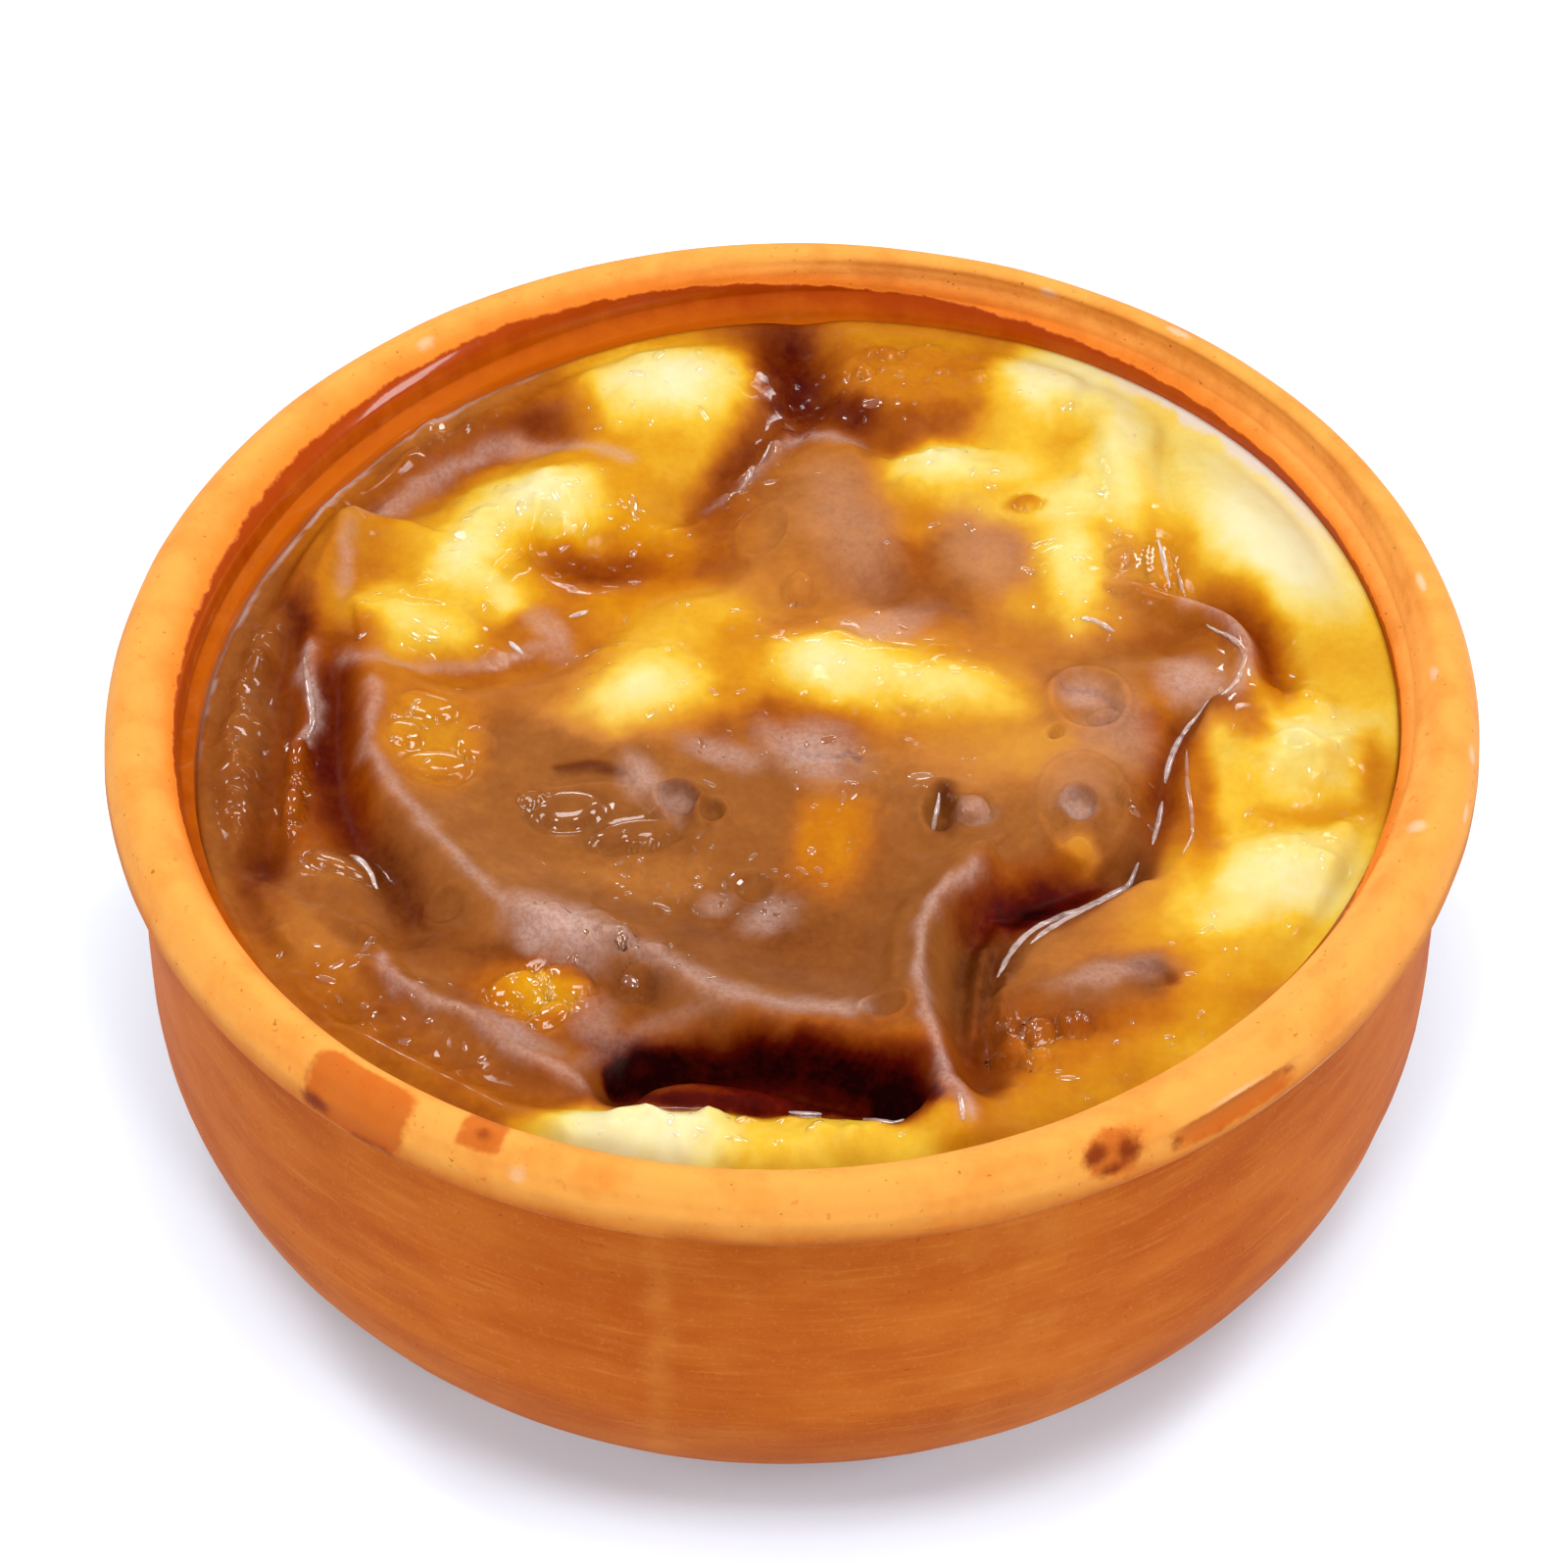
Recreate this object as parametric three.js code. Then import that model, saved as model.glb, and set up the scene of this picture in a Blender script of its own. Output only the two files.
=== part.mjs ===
// Baked rice pudding in its round terracotta dish.
// Millimetres, +Z up, origin at the middle of the dish's flat foot, +Y away from the viewer.

import * as THREE from 'three';

// The dish
const rimRadius = 57.5;        // outside of the rolled rim
const dishHeight = 47.4;
const rimHalfWidth = 2.75;     // half the thickness of the rolled rim
const rimRise = 4.2;           // the rim's crest above its widest line
const neckRadius = 54.2;       // body just under the rim
const neckHeight = 41.6;
const bellyRadius = 55.6;      // widest line of the body
const bellyHeight = 19.9;
const footRadius = 38.2;
const shoulderSteps = [0.35, 0.7, 1]; // shares of the way from belly to neck
const lipThickness = 1.1;      // rounded lower edge of the rim
const wallRadius = 50.5;       // inside wall
const wallFlare = [[51.1, 41.4], [50.6, 39.6], [wallRadius, 34]]; // radius and height, under the rim
const floorThickness = 5.2;
const insideCorner = { out: 15.5, up: 16.8 }; // the inside's round corner at the floor

// How far the hand-thrown dish is from round
const outOfRound = { amount: 0.45, towards: 52 };   // degrees from +X
const mouthOval = { amount: 1.3, towards: 57 };
const mouthShift = { x: 0.65, y: 0.6 };
const mouthFades = { from: 30, to: 42 };            // heights between which the oval mouth begins

// The pudding
const skinLevel = 40.4;        // where the skin meets the wall
const puddingGap = 0.3;        // between pudding and clay
const fillRadius = wallRadius - puddingGap;
const sideHeights = [37.2, 33];   // rings of the straight side under the skin
const highestSkin = 42.7;      // nothing rises past this
const softTop = 1.2;           // how far below that the peaks begin to flatten
const wallFade = 2.2;          // the relief fades over this distance from the wall

// Facets
const sectors = 80;
const skinRings = 28;

const clayMaterial = new THREE.MeshStandardMaterial({ color: 0xd9822f, roughness: 0.75, metalness: 0 });
const puddingMaterial = new THREE.MeshStandardMaterial({ color: 0xb8772e, roughness: 0.3, metalness: 0 });

// Round swellings (high > 0) and dimples (high < 0) of the skin: middle, half length, half width,
// the turn of the long side from +X in degrees, and the height.
const swellings = {
  farLeftCream: { x: -12, y: 44, long: 7.5, wide: 6, turn: 20, high: 1.5 },
  farAmber: { x: 11, y: 43, long: 6, wide: 5.5, turn: 0, high: 1.2 },
  farRightCream: { x: 21.5, y: 43, long: 6, wide: 4.5, turn: -30, high: 1.5 },
  rightColumn: { x: 28.5, y: 33, long: 9, wide: 3.5, turn: -75, high: 1.6 },
  rightWallCream: { x: 40, y: 25, long: 9, wide: 5, turn: -60, high: 1.5 },
  middleRightCream: { x: 13, y: 32, long: 5, wide: 3.8, turn: 10, high: 1.6 },
  innerColumn: { x: 24, y: 18, long: 9, wide: 3.2, turn: -88, high: 1.3 },
  leftCreamTop: { x: -21, y: 28, long: 7.5, wide: 3.8, turn: 30, high: 2.0 },
  leftCreamFoot: { x: -28, y: 18, long: 5, wide: 3.6, turn: 55, high: 1.4 },
  leftYellow: { x: -33, y: 12, long: 6, wide: 3.4, turn: -25, high: 1.4 },
  centreLeft: { x: -13, y: 5, long: 5.5, wide: 4.2, turn: 35, high: 1.5 },
  centreAmber: { x: -9.5, y: 14.5, long: 4.5, wide: 3.5, turn: 0, high: 1.0 },
  centreRight: { x: 3.5, y: 7.5, long: 5.5, wide: 3.6, turn: -15, high: 1.7 },
  centreRightTail: { x: 14.5, y: 5, long: 6, wide: 3.4, turn: -10, high: 1.5 },
  rightUpper: { x: 43, y: -3, long: 5.5, wide: 4.2, turn: -20, high: 1.7 },
  rightLower: { x: 39.5, y: -17, long: 7.5, wide: 4.6, turn: 35, high: 1.9 },
  rightMiddle: { x: 36, y: -8, long: 6.5, wide: 2.8, turn: 75, high: 0.9 },
  frontCream: { x: -12, y: -45.5, long: 8.5, wide: 3.2, turn: -4, high: 1.9 },
  frontYellow: { x: 3.5, y: -46, long: 7.5, wide: 2.8, turn: 4, high: 1.3 },
  blisteredDome: { x: 24, y: -5, long: 8, wide: 7.5, turn: 90, high: 1.3 },
  blisteredLobe: { x: 24.5, y: -11, long: 4.8, wide: 3.6, turn: 90, high: 0.8 },
  tongue: { x: 1.5, y: 28, long: 9, wide: 3.6, turn: 90, high: 0.9 },
  frostyLobe: { x: 33, y: 6, long: 5.5, wide: 3.8, turn: -20, high: 0.9 },
  leftBubble: { x: -37, y: -18, long: 4.2, wide: 2.6, turn: -15, high: 1.4 },
  tentPeak: { x: -41.3, y: 27.6, long: 2.2, wide: 2.0, turn: 0, high: 2.0 },
  frontRightLobe: { x: 24, y: -28.5, long: 6, wide: 2.4, turn: 20, high: 1.0 },
  brownDimple: { x: -17, y: 20.5, long: 5.2, wide: 2.6, turn: -10, high: -2.2 },
  leftHole: { x: -43, y: -17, long: 2.4, wide: 1.8, turn: 0, high: -1.6 },
  amberPocket: { x: 32.5, y: 20, long: 3, wide: 3.6, turn: 0, high: -1.5 },
  farDimple: { x: 24.5, y: 37.5, long: 2.6, wide: 2, turn: 40, high: -1.2 },
  sheetHollow: { x: -8, y: -20, long: 16, wide: 9, turn: -20, high: -1.3 },
  clusterHollow: { x: -20, y: -30.5, long: 3.4, wide: 2.6, turn: 30, high: -1.1 },
};

// Folds (high > 0) and valleys (high < 0): a smooth route, and a width for each side of it.
const folds = {
  sheetEdge: {
    route: [[-37, 8], [-35.5, 0], [-34, -7], [-30.5, -14], [-25, -20], [-17, -24], [-10.5, -27],
      [-6, -31], [0, -33.8], [6, -34.6], [9.5, -36.5], [12, -41], [13.2, -44]],
    high: 2.1, left: 4.5, right: 2.0,
  },
  sheetSlope: {
    route: [[-38.5, 5], [-38.5, -3], [-37, -11], [-33, -17.5], [-31, -23]],
    high: -2.4, left: 2, right: 2.2,
  },
  frontCavity: {
    route: [[-14, -38], [-8, -37.4], [0, -38.8], [7, -40.2], [11, -42]],
    high: -6.2, left: 2.6, right: 2.8,
  },
  frontPool: {
    route: [[-36, -32], [-28, -36.5], [-18, -41], [-6, -42.4], [8, -43.4]],
    high: -2.2, left: 3, right: 2.2,
  },
  rightArc: {
    route: [[15.5, -15.5], [12, -20.5], [10.2, -26], [10, -32], [11.5, -38], [13.2, -43.5]],
    high: 2.0, left: 1.7, right: 3.4,
  },
  innerArc: {
    route: [[17, -21], [15.4, -26], [14.8, -33]],
    high: 1.2, left: 1.1, right: 1.1,
  },
  darkValley: {
    route: [[28, -15.5], [22.5, -17.8], [17.5, -20], [14, -25.5], [13.3, -32], [14.8, -39]],
    high: -4.2, left: 2.4, right: 2.2,
  },
  syrupCrease: {
    route: [[37, 4.5], [33, 0], [31.2, -6], [30, -11], [28.4, -16], [23.5, -20], [19, -23], [16.8, -28]],
    high: -1.5, left: 1.2, right: 1.3,
  },
  cornerFold: {
    route: [[30, 16], [35, 14], [38, 10], [38, 6], [35.5, 2]],
    high: 1.7, left: 2.8, right: 1.2,
  },
  cornerHollow: {
    route: [[35, 17.5], [40.2, 13], [41.2, 7]],
    high: -2.2, left: 2.2, right: 1.8,
  },
  farValley: {
    route: [[0.5, 51], [0.8, 45], [-1, 39], [-5, 33], [-9, 27.5]],
    high: -3.0, left: 2.8, right: 3.0,
  },
  farBranch: {
    route: [[2, 43], [5.5, 38.5], [10, 35.6], [16, 36.6]],
    high: -1.8, left: 2.2, right: 2.4,
  },
  frostyCrease: {
    route: [[-39, 25], [-40.5, 19], [-41.6, 12], [-41, 6], [-40.7, 0], [-41.4, -5], [-41.6, -12]],
    high: 1.3, left: 1.1, right: 1.0,
  },
  outerValley: {
    route: [[-42, 14], [-43.6, 6], [-43.8, -3], [-43.4, -11], [-43, -17]],
    high: -2.5, left: 1.7, right: 1.6,
  },
  tentFold: {
    route: [[-41.5, 27.8], [-38, 28.6], [-35.5, 31], [-33, 36]],
    high: 1.3, left: 1.4, right: 1.2,
  },
  lowerTentFold: {
    route: [[-39.6, 25], [-37, 24.9], [-33.5, 24]],
    high: 1.0, left: 1.0, right: 1.2,
  },
  tentValley: {
    route: [[-39, 26.6], [-33.5, 28.5], [-28.5, 33], [-22, 37]],
    high: -2.0, left: 2.4, right: 2.2,
  },
  rightGroove: {
    route: [[35, -11.5], [41, -10.6], [47, -8.6]],
    high: -1.1, left: 1.6, right: 1.6,
  },
  smoothTrough: {
    route: [[-1, 15], [10, 17.5], [17, 12], [24, 9.6], [32, 11]],
    high: -1.1, left: 2.6, right: 2.2,
  },
  sheetTop: {
    route: [[-36, 8.5], [-28, 6.5], [-20, 8.5], [-14, 14.5], [-6, 19]],
    high: -1.2, left: 2.2, right: 2.0,
  },
  lobeLine: {
    route: [[-45, -20], [-41, -26], [-35, -32]],
    high: -1.3, left: 1.6, right: 1.4,
  },
};

// A soft ring against the wall, where the skin has crept up the clay.
const wallBand = { inset: 2.8, width: 2.2, high: 0.9, from: 105, to: 250, fade: 20 };

const degrees = Math.PI / 180;

// Hermite step from 0 at low to 1 at high.
function smoothStep(low, high, value) {
  const t = Math.min(1, Math.max(0, (value - low) / (high - low)));
  return t * t * (3 - 2 * t);
}

// How far the outside stands out from round at one angle.
function outsideOffset(angle) {
  return outOfRound.amount * Math.cos(2 * (angle - outOfRound.towards * degrees));
}

// How far the inside stands out from round at one angle and height.
function insideOffset(angle, height) {
  const oval = mouthOval.amount * Math.cos(2 * (angle - mouthOval.towards * degrees));
  const shift = mouthShift.x * Math.cos(angle) + mouthShift.y * Math.sin(angle);
  return (oval + shift) * smoothStep(mouthFades.from, mouthFades.to, height) + outsideOffset(angle);
}

// Points on an ellipse's arc as [radius, height]; 0 degrees is outward and 90 is up.
function arc(middleRadius, middleHeight, out, up, fromAngle, toAngle, steps) {
  const points = [];
  for (let i = 0; i <= steps; i++) {
    const t = (fromAngle + (toAngle - fromAngle) * i / steps) * degrees;
    points.push([middleRadius + out * Math.cos(t), middleHeight + up * Math.sin(t)]);
  }
  return points;
}

// The dish's outside from the foot to the crest of the rim.
function dishOutside() {
  const corner = arc(footRadius, bellyHeight, bellyRadius - footRadius, bellyHeight, -90, 0, 8);
  const shoulder = [];
  for (const part of shoulderSteps) {
    const narrowing = (bellyRadius - neckRadius) * part * part;
    shoulder.push([bellyRadius - narrowing, bellyHeight + (neckHeight - bellyHeight) * part]);
  }
  const lipMiddle = rimRadius - lipThickness;
  const lipHeight = dishHeight - rimRise;
  const lip = arc(lipMiddle, lipHeight, lipThickness, lipThickness, -100, -30, 2);
  const crest = arc(rimRadius - rimHalfWidth, lipHeight, rimHalfWidth, rimRise, 0, 90, 5);
  return [...corner, ...shoulder, ...lip, ...crest];
}

// The dish's inside from just past the crest down to the floor.
function dishInside() {
  const crestRadius = rimRadius - rimHalfWidth;
  const lipHeight = dishHeight - rimRise;
  const crest = arc(crestRadius, lipHeight, rimHalfWidth, rimRise, 108, 180, 4);
  const cornerMiddle = wallRadius - insideCorner.out;
  const cornerHeight = floorThickness + insideCorner.up;
  const corner = arc(cornerMiddle, cornerHeight, insideCorner.out, insideCorner.up, 0, -90, 6);
  return [...crest, ...wallFlare, ...corner];
}

// Turns [radius, height] points into a closed solid of revolution that stands on Z.
function turnedSolid(points, segments) {
  const profile = points.map(([radius, height]) => new THREE.Vector2(radius, height));
  const geometry = new THREE.LatheGeometry(profile, segments);
  geometry.rotateX(Math.PI / 2);
  return geometry;
}

// Moves each vertex of a geometry by a rule that takes and returns a THREE.Vector3.
function reshape(geometry, rule) {
  const position = geometry.attributes.position;
  const point = new THREE.Vector3();
  for (let i = 0; i < position.count; i++) {
    point.fromBufferAttribute(position, i);
    rule(point);
    position.setXYZ(i, point.x, point.y, point.z);
  }
  geometry.computeVertexNormals();
  return geometry;
}

// Pushes a point outward along its own radius, in proportion to it.
function pushOut(point, offset, fullRadius) {
  const scale = 1 + offset / fullRadius;
  point.x *= scale;
  point.y *= scale;
}

// A thrown clay bowl: foot, belly, neck and rolled rim, slightly out of round.
function makeDish() {
  const outside = [[0, 0], ...dishOutside()];
  const inside = [...dishInside(), [0, floorThickness]];
  const crestRadius = rimRadius - rimHalfWidth;
  const rule = (point) => {
    const radius = Math.hypot(point.x, point.y);
    const angle = Math.atan2(point.y, point.x);
    const isInside = radius < crestRadius && point.z > floorThickness - 0.01 && onInside(radius, point.z);
    const offset = isInside ? insideOffset(angle, point.z) : outsideOffset(angle);
    pushOut(point, offset, isInside ? wallRadius : rimRadius);
  };
  return reshape(turnedSolid([...outside, ...inside], sectors), rule);
}

// True for a vertex of the inside wall: it lies nearer to the inside's outline than to the outside's.
function onInside(radius, height) {
  const nearest = (points) => Math.min(...points.map(([r, z]) => Math.hypot(r - radius, z - height)));
  return nearest(dishInside()) < nearest(dishOutside()) || radius < 1;
}

// Height of a swelling at x, y: a Gaussian over an ellipse.
function swellingHeight(swelling, x, y) {
  const turn = swelling.turn * degrees;
  const dx = x - swelling.x;
  const dy = y - swelling.y;
  const along = (dx * Math.cos(turn) + dy * Math.sin(turn)) / swelling.long;
  const across = (dy * Math.cos(turn) - dx * Math.sin(turn)) / swelling.wide;
  return swelling.high * Math.exp(-(along * along + across * across));
}

// A fold's route as a smooth line of short steps.
function smoothRoute(route) {
  const points = route.map(([x, y]) => new THREE.Vector3(x, y, 0));
  return new THREE.CatmullRomCurve3(points).getPoints(route.length * 5);
}

// Height of a fold at x, y: a Gaussian of the distance to its route, with its own width on each side.
function foldHeight(fold, x, y) {
  let nearest = Infinity;
  let side = 1;
  for (let i = 0; i + 1 < fold.line.length; i++) {
    const a = fold.line[i];
    const b = fold.line[i + 1];
    const stepX = b.x - a.x;
    const stepY = b.y - a.y;
    const t = ((x - a.x) * stepX + (y - a.y) * stepY) / (stepX * stepX + stepY * stepY);
    const part = Math.min(1, Math.max(0, t));
    const dx = x - a.x - stepX * part;
    const dy = y - a.y - stepY * part;
    const distance = Math.hypot(dx, dy);
    if (distance < nearest) {
      nearest = distance;
      side = Math.sign(stepX * dy - stepY * dx) || 1;
    }
  }
  const width = side > 0 ? fold.left : fold.right;
  return fold.high * Math.exp(-((nearest / width) ** 2));
}

// The ring of skin that stands up along part of the wall; inset is the distance from the wall.
function wallBandHeight(angle, inset) {
  const bearing = (angle / degrees + 360) % 360;
  const ends = smoothStep(wallBand.from, wallBand.from + wallBand.fade, bearing)
    * (1 - smoothStep(wallBand.to - wallBand.fade, wallBand.to, bearing));
  return wallBand.high * ends * Math.exp(-(((inset - wallBand.inset) / wallBand.width) ** 2));
}

// The height of the baked skin at x, y: every swelling and fold added up, fading towards the wall.
function skinHeight(x, y, inset) {
  let relief = wallBandHeight(Math.atan2(y, x), inset);
  for (const swelling of Object.values(swellings)) {
    relief += swellingHeight(swelling, x, y);
  }
  for (const fold of Object.values(folds)) {
    relief += foldHeight(fold, x, y);
  }
  const height = skinLevel + relief * (0.25 + 0.75 * smoothStep(0, wallFade, inset));
  const over = height - (highestSkin - softTop);
  return over > 0 ? highestSkin - softTop * Math.exp(-over / softTop) : height;
}

// A level ring of points on the pudding: the radius in a round dish, the height and how many points.
function puddingRing(radius, height, count) {
  const ring = [];
  for (let i = 0; i < count; i++) {
    const angle = 2 * Math.PI * i / count;
    const isSkin = height >= skinLevel;
    const reach = radius * (1 + insideOffset(angle, height) / fillRadius);
    const x = reach * Math.cos(angle);
    const y = reach * Math.sin(angle);
    ring.push([x, y, isSkin ? skinHeight(x, y, fillRadius - radius) : height]);
  }
  return ring;
}

// Joins rings of points, each with its own count and the first and last a single point, into a solid.
function ringedSolid(rings) {
  const positions = rings.flat(2);
  const indices = [];
  let start = 0;
  for (let r = 0; r + 1 < rings.length; r++) {
    const inner = rings[r].length;
    const outer = rings[r + 1].length;
    const next = start + inner;
    let i = 0;
    let j = 0;
    while (i < inner || j < outer) {
      const stepInner = j >= outer || (i < inner && (i + 1) / inner < (j + 1) / outer);
      const a = start + i % inner;
      const b = next + j % outer;
      const skipped = stepInner ? inner === 1 : outer === 1;
      if (!skipped) {
        indices.push(a, b, stepInner ? start + (i + 1) % inner : next + (j + 1) % outer);
      }
      i += stepInner ? 1 : 0;
      j += stepInner ? 0 : 1;
    }
    start = next;
  }
  const geometry = new THREE.BufferGeometry();
  geometry.setAttribute('position', new THREE.Float32BufferAttribute(positions, 3));
  geometry.setIndex(indices);
  geometry.computeVertexNormals();
  return geometry;
}

// The pudding: a plug that follows the inside of the dish, closed on top by the wrinkled skin.
function makePudding() {
  for (const fold of Object.values(folds)) {
    fold.line = smoothRoute(fold.route);
  }
  const cornerMiddle = wallRadius - insideCorner.out;
  const cornerHeight = floorThickness + insideCorner.up;
  const corner = arc(cornerMiddle, cornerHeight, insideCorner.out - puddingGap,
    insideCorner.up - puddingGap, 0, -90, 4);
  const side = [...sideHeights.map((height) => [fillRadius, height]), ...corner];
  const rings = [puddingRing(0, skinLevel, 1)];
  for (let ring = 1; ring <= skinRings; ring++) {
    rings.push(puddingRing(fillRadius * ring / skinRings, skinLevel, 6 * ring));
  }
  for (const [radius, height] of side) {
    rings.push(puddingRing(radius, height, sectors));
  }
  rings.push(puddingRing(0, floorThickness + puddingGap, 1));
  return ringedSolid(rings);
}

function namedMesh(name, geometry, material) {
  const mesh = new THREE.Mesh(geometry, material);
  mesh.name = name;
  return mesh;
}

const ricePudding = new THREE.Group();
ricePudding.add(namedMesh('dish', makeDish(), clayMaterial));
ricePudding.add(namedMesh('pudding', makePudding(), puddingMaterial));

export default ricePudding;
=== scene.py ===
import math
import bpy
import numpy as np
from mathutils import Matrix, Vector


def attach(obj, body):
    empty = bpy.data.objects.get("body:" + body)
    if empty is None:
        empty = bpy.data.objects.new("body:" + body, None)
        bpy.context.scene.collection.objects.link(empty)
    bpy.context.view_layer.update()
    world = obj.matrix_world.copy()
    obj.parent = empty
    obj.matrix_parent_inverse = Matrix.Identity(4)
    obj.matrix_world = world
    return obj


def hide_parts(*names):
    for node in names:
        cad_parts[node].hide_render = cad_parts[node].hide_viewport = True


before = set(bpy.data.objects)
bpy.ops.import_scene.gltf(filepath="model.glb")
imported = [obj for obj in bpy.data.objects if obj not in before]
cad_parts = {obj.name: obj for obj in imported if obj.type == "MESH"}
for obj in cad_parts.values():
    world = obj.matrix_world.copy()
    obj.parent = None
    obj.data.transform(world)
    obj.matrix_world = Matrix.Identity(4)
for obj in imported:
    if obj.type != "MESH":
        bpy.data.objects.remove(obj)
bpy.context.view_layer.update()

millimetre = 0.001  # shapes below are worked out in millimetres and written in metres
degrees = math.pi / 180

camera = {
    "back": 286.98, "height": 329.66,      # where it stands, in front of the dish and above the floor
    "aimX": -0.712, "aimHeight": 33.72,    # the point it looks at
    "roll": 0.543, "lens": 111.1, "sensor": 36.0,
}


def makeCamera():
    place = Vector((0, -camera["back"], camera["height"])) * millimetre
    aim = Vector((camera["aimX"], 0, camera["aimHeight"])) * millimetre
    forward = (aim - place).normalized()
    right = forward.cross(Vector((0, 0, 1))).normalized()
    up = right.cross(forward)
    roll = camera["roll"] * degrees
    rolledRight = right * math.cos(roll) + up * math.sin(roll)
    rolledUp = up * math.cos(roll) - right * math.sin(roll)
    turn = Matrix((rolledRight, rolledUp, -forward)).transposed()
    data = bpy.data.cameras.new("camera")
    data.lens = camera["lens"]
    data.sensor_width = camera["sensor"]
    data.clip_start = 0.01
    thing = bpy.data.objects.new("camera", data)
    thing.matrix_world = Matrix.Translation(place) @ turn.to_4x4()
    bpy.context.scene.collection.objects.link(thing)
    bpy.context.scene.camera = thing
    print("camera placed")


studio = {
    "floorHalf": 2.5, "floorColour": (0.74, 0.81, 0.91), "floorRoughness": 0.9,
    "floorGlow": 0.02,                     # the table is lit a little from below
    "skyStrength": 0.14, "skyColour": (1.0, 1.0, 1.0),
    "aim": (0, 0, 0.03),                   # where every light looks, in metres
    # place, width and height in metres, and watts
    "lights": {
        "farLow": {"place": (0.0, 1.0, 0.30), "size": (0.60, 0.10), "watts": 2.0},
        "overhead": {"place": (0.0, -0.16, 1.05), "size": (0.56, 0.46), "watts": 9.0},
        "backLeft": {"place": (-0.62, 0.56, 0.62), "size": (0.14, 0.46), "watts": 3.2},
        "backRight": {"place": (0.62, 0.56, 0.62), "size": (0.14, 0.46), "watts": 3.4},
        "sideLeft": {"place": (-0.85, -0.15, 0.45), "size": (0.22, 0.36), "watts": 2.2},
        "sideRight": {"place": (0.85, -0.15, 0.45), "size": (0.22, 0.36), "watts": 3.0},
        "frontLeft": {"place": (-0.40, -0.90, 0.80), "size": (0.18, 0.28), "watts": 3.6},
        "frontRight": {"place": (0.40, -0.90, 0.80), "size": (0.18, 0.28), "watts": 3.6},
    },
}


def makeStudio():
    half = studio["floorHalf"]
    corners = [(-half, -half, 0), (half, -half, 0), (half, half, 0), (-half, half, 0)]
    mesh = bpy.data.meshes.new("floor")
    mesh.from_pydata(corners, [], [(0, 1, 2, 3)])
    floor = bpy.data.objects.new("floor", mesh)
    bpy.context.scene.collection.objects.link(floor)
    material = bpy.data.materials.new("paleFloor")
    material.use_nodes = True
    shader = material.node_tree.nodes["Principled BSDF"]
    shader.inputs["Base Color"].default_value = (*studio["floorColour"], 1)
    shader.inputs["Roughness"].default_value = studio["floorRoughness"]
    shader.inputs["Specular IOR Level"].default_value = 0.0
    shader.inputs["Emission Color"].default_value = (*studio["floorColour"], 1)
    shader.inputs["Emission Strength"].default_value = studio["floorGlow"]
    mesh.materials.append(material)

    world = bpy.data.worlds.new("studio")
    bpy.context.scene.world = world
    world.use_nodes = True
    background = world.node_tree.nodes["Background"]
    background.inputs["Color"].default_value = (*studio["skyColour"], 1)
    background.inputs["Strength"].default_value = studio["skyStrength"]

    for name, light in studio["lights"].items():
        data = bpy.data.lights.new(name, "AREA")
        data.shape = "RECTANGLE"
        data.size, data.size_y = light["size"]
        data.energy = light["watts"]
        thing = bpy.data.objects.new(name, data)
        place = Vector(light["place"])
        turn = (Vector(studio["aim"]) - place).to_track_quat("-Z", "Y")
        thing.matrix_world = Matrix.Translation(place) @ turn.to_matrix().to_4x4()
        bpy.context.scene.collection.objects.link(thing)
    bpy.context.scene.view_settings.view_transform = "Standard"
    print("studio lit")


# Hermite step from 0 at low to 1 at high.
def smoothStep(low, high, value):
    t = np.clip((value - low) / (high - low), 0, 1)
    return t * t * (3 - 2 * t)


lattice = {"size": 128, "shiftX": 37.3, "shiftY": 11.7}   # in cells; the shift keeps its nodes off the axis


# Value noise from -1 to 1: random numbers on a square lattice, joined by Hermite steps.
def latticeNoise(x, y, cell, seed):
    size = lattice["size"]
    values = np.random.default_rng(seed).uniform(-1, 1, (size, size))
    u, v = x / cell + lattice["shiftX"], y / cell + lattice["shiftY"]
    column, row = np.floor(u).astype(int), np.floor(v).astype(int)
    fu, fv = u - column, v - row
    fu, fv = fu * fu * (3 - 2 * fu), fv * fv * (3 - 2 * fv)
    low = values[row % size, column % size] * (1 - fu) + values[row % size, (column + 1) % size] * fu
    high = (values[(row + 1) % size, column % size] * (1 - fu)
            + values[(row + 1) % size, (column + 1) % size] * fu)
    return low * (1 - fv) + high * fv


# Octaves of the lattice noise, each half as wide and half as strong, from about -1 to 1.
def layeredNoise(x, y, cell, seed, octaves=3):
    total = sum(latticeNoise(x, y, cell / 2 ** k, seed + k) / 2 ** k for k in range(octaves))
    return total / (2 - 0.5 ** (octaves - 1))


# A route's points joined by a Catmull-Rom curve, in short steps.
def smoothRoute(route, steps=5):
    points = np.array(route, float)
    points = np.vstack([2 * points[0] - points[1], points, 2 * points[-1] - points[-2]])
    before, start, end, after = points[:-3], points[1:-2], points[2:-1], points[3:]
    t = (np.arange(steps) / steps)[:, None, None]
    curve = 0.5 * (2 * start + (end - before) * t + (2 * before - 5 * start + 4 * end - after) * t ** 2
                   + (3 * start - 3 * end + after - before) * t ** 3)
    return np.vstack([curve.transpose(1, 0, 2).reshape(-1, 2), points[-2]])


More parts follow.
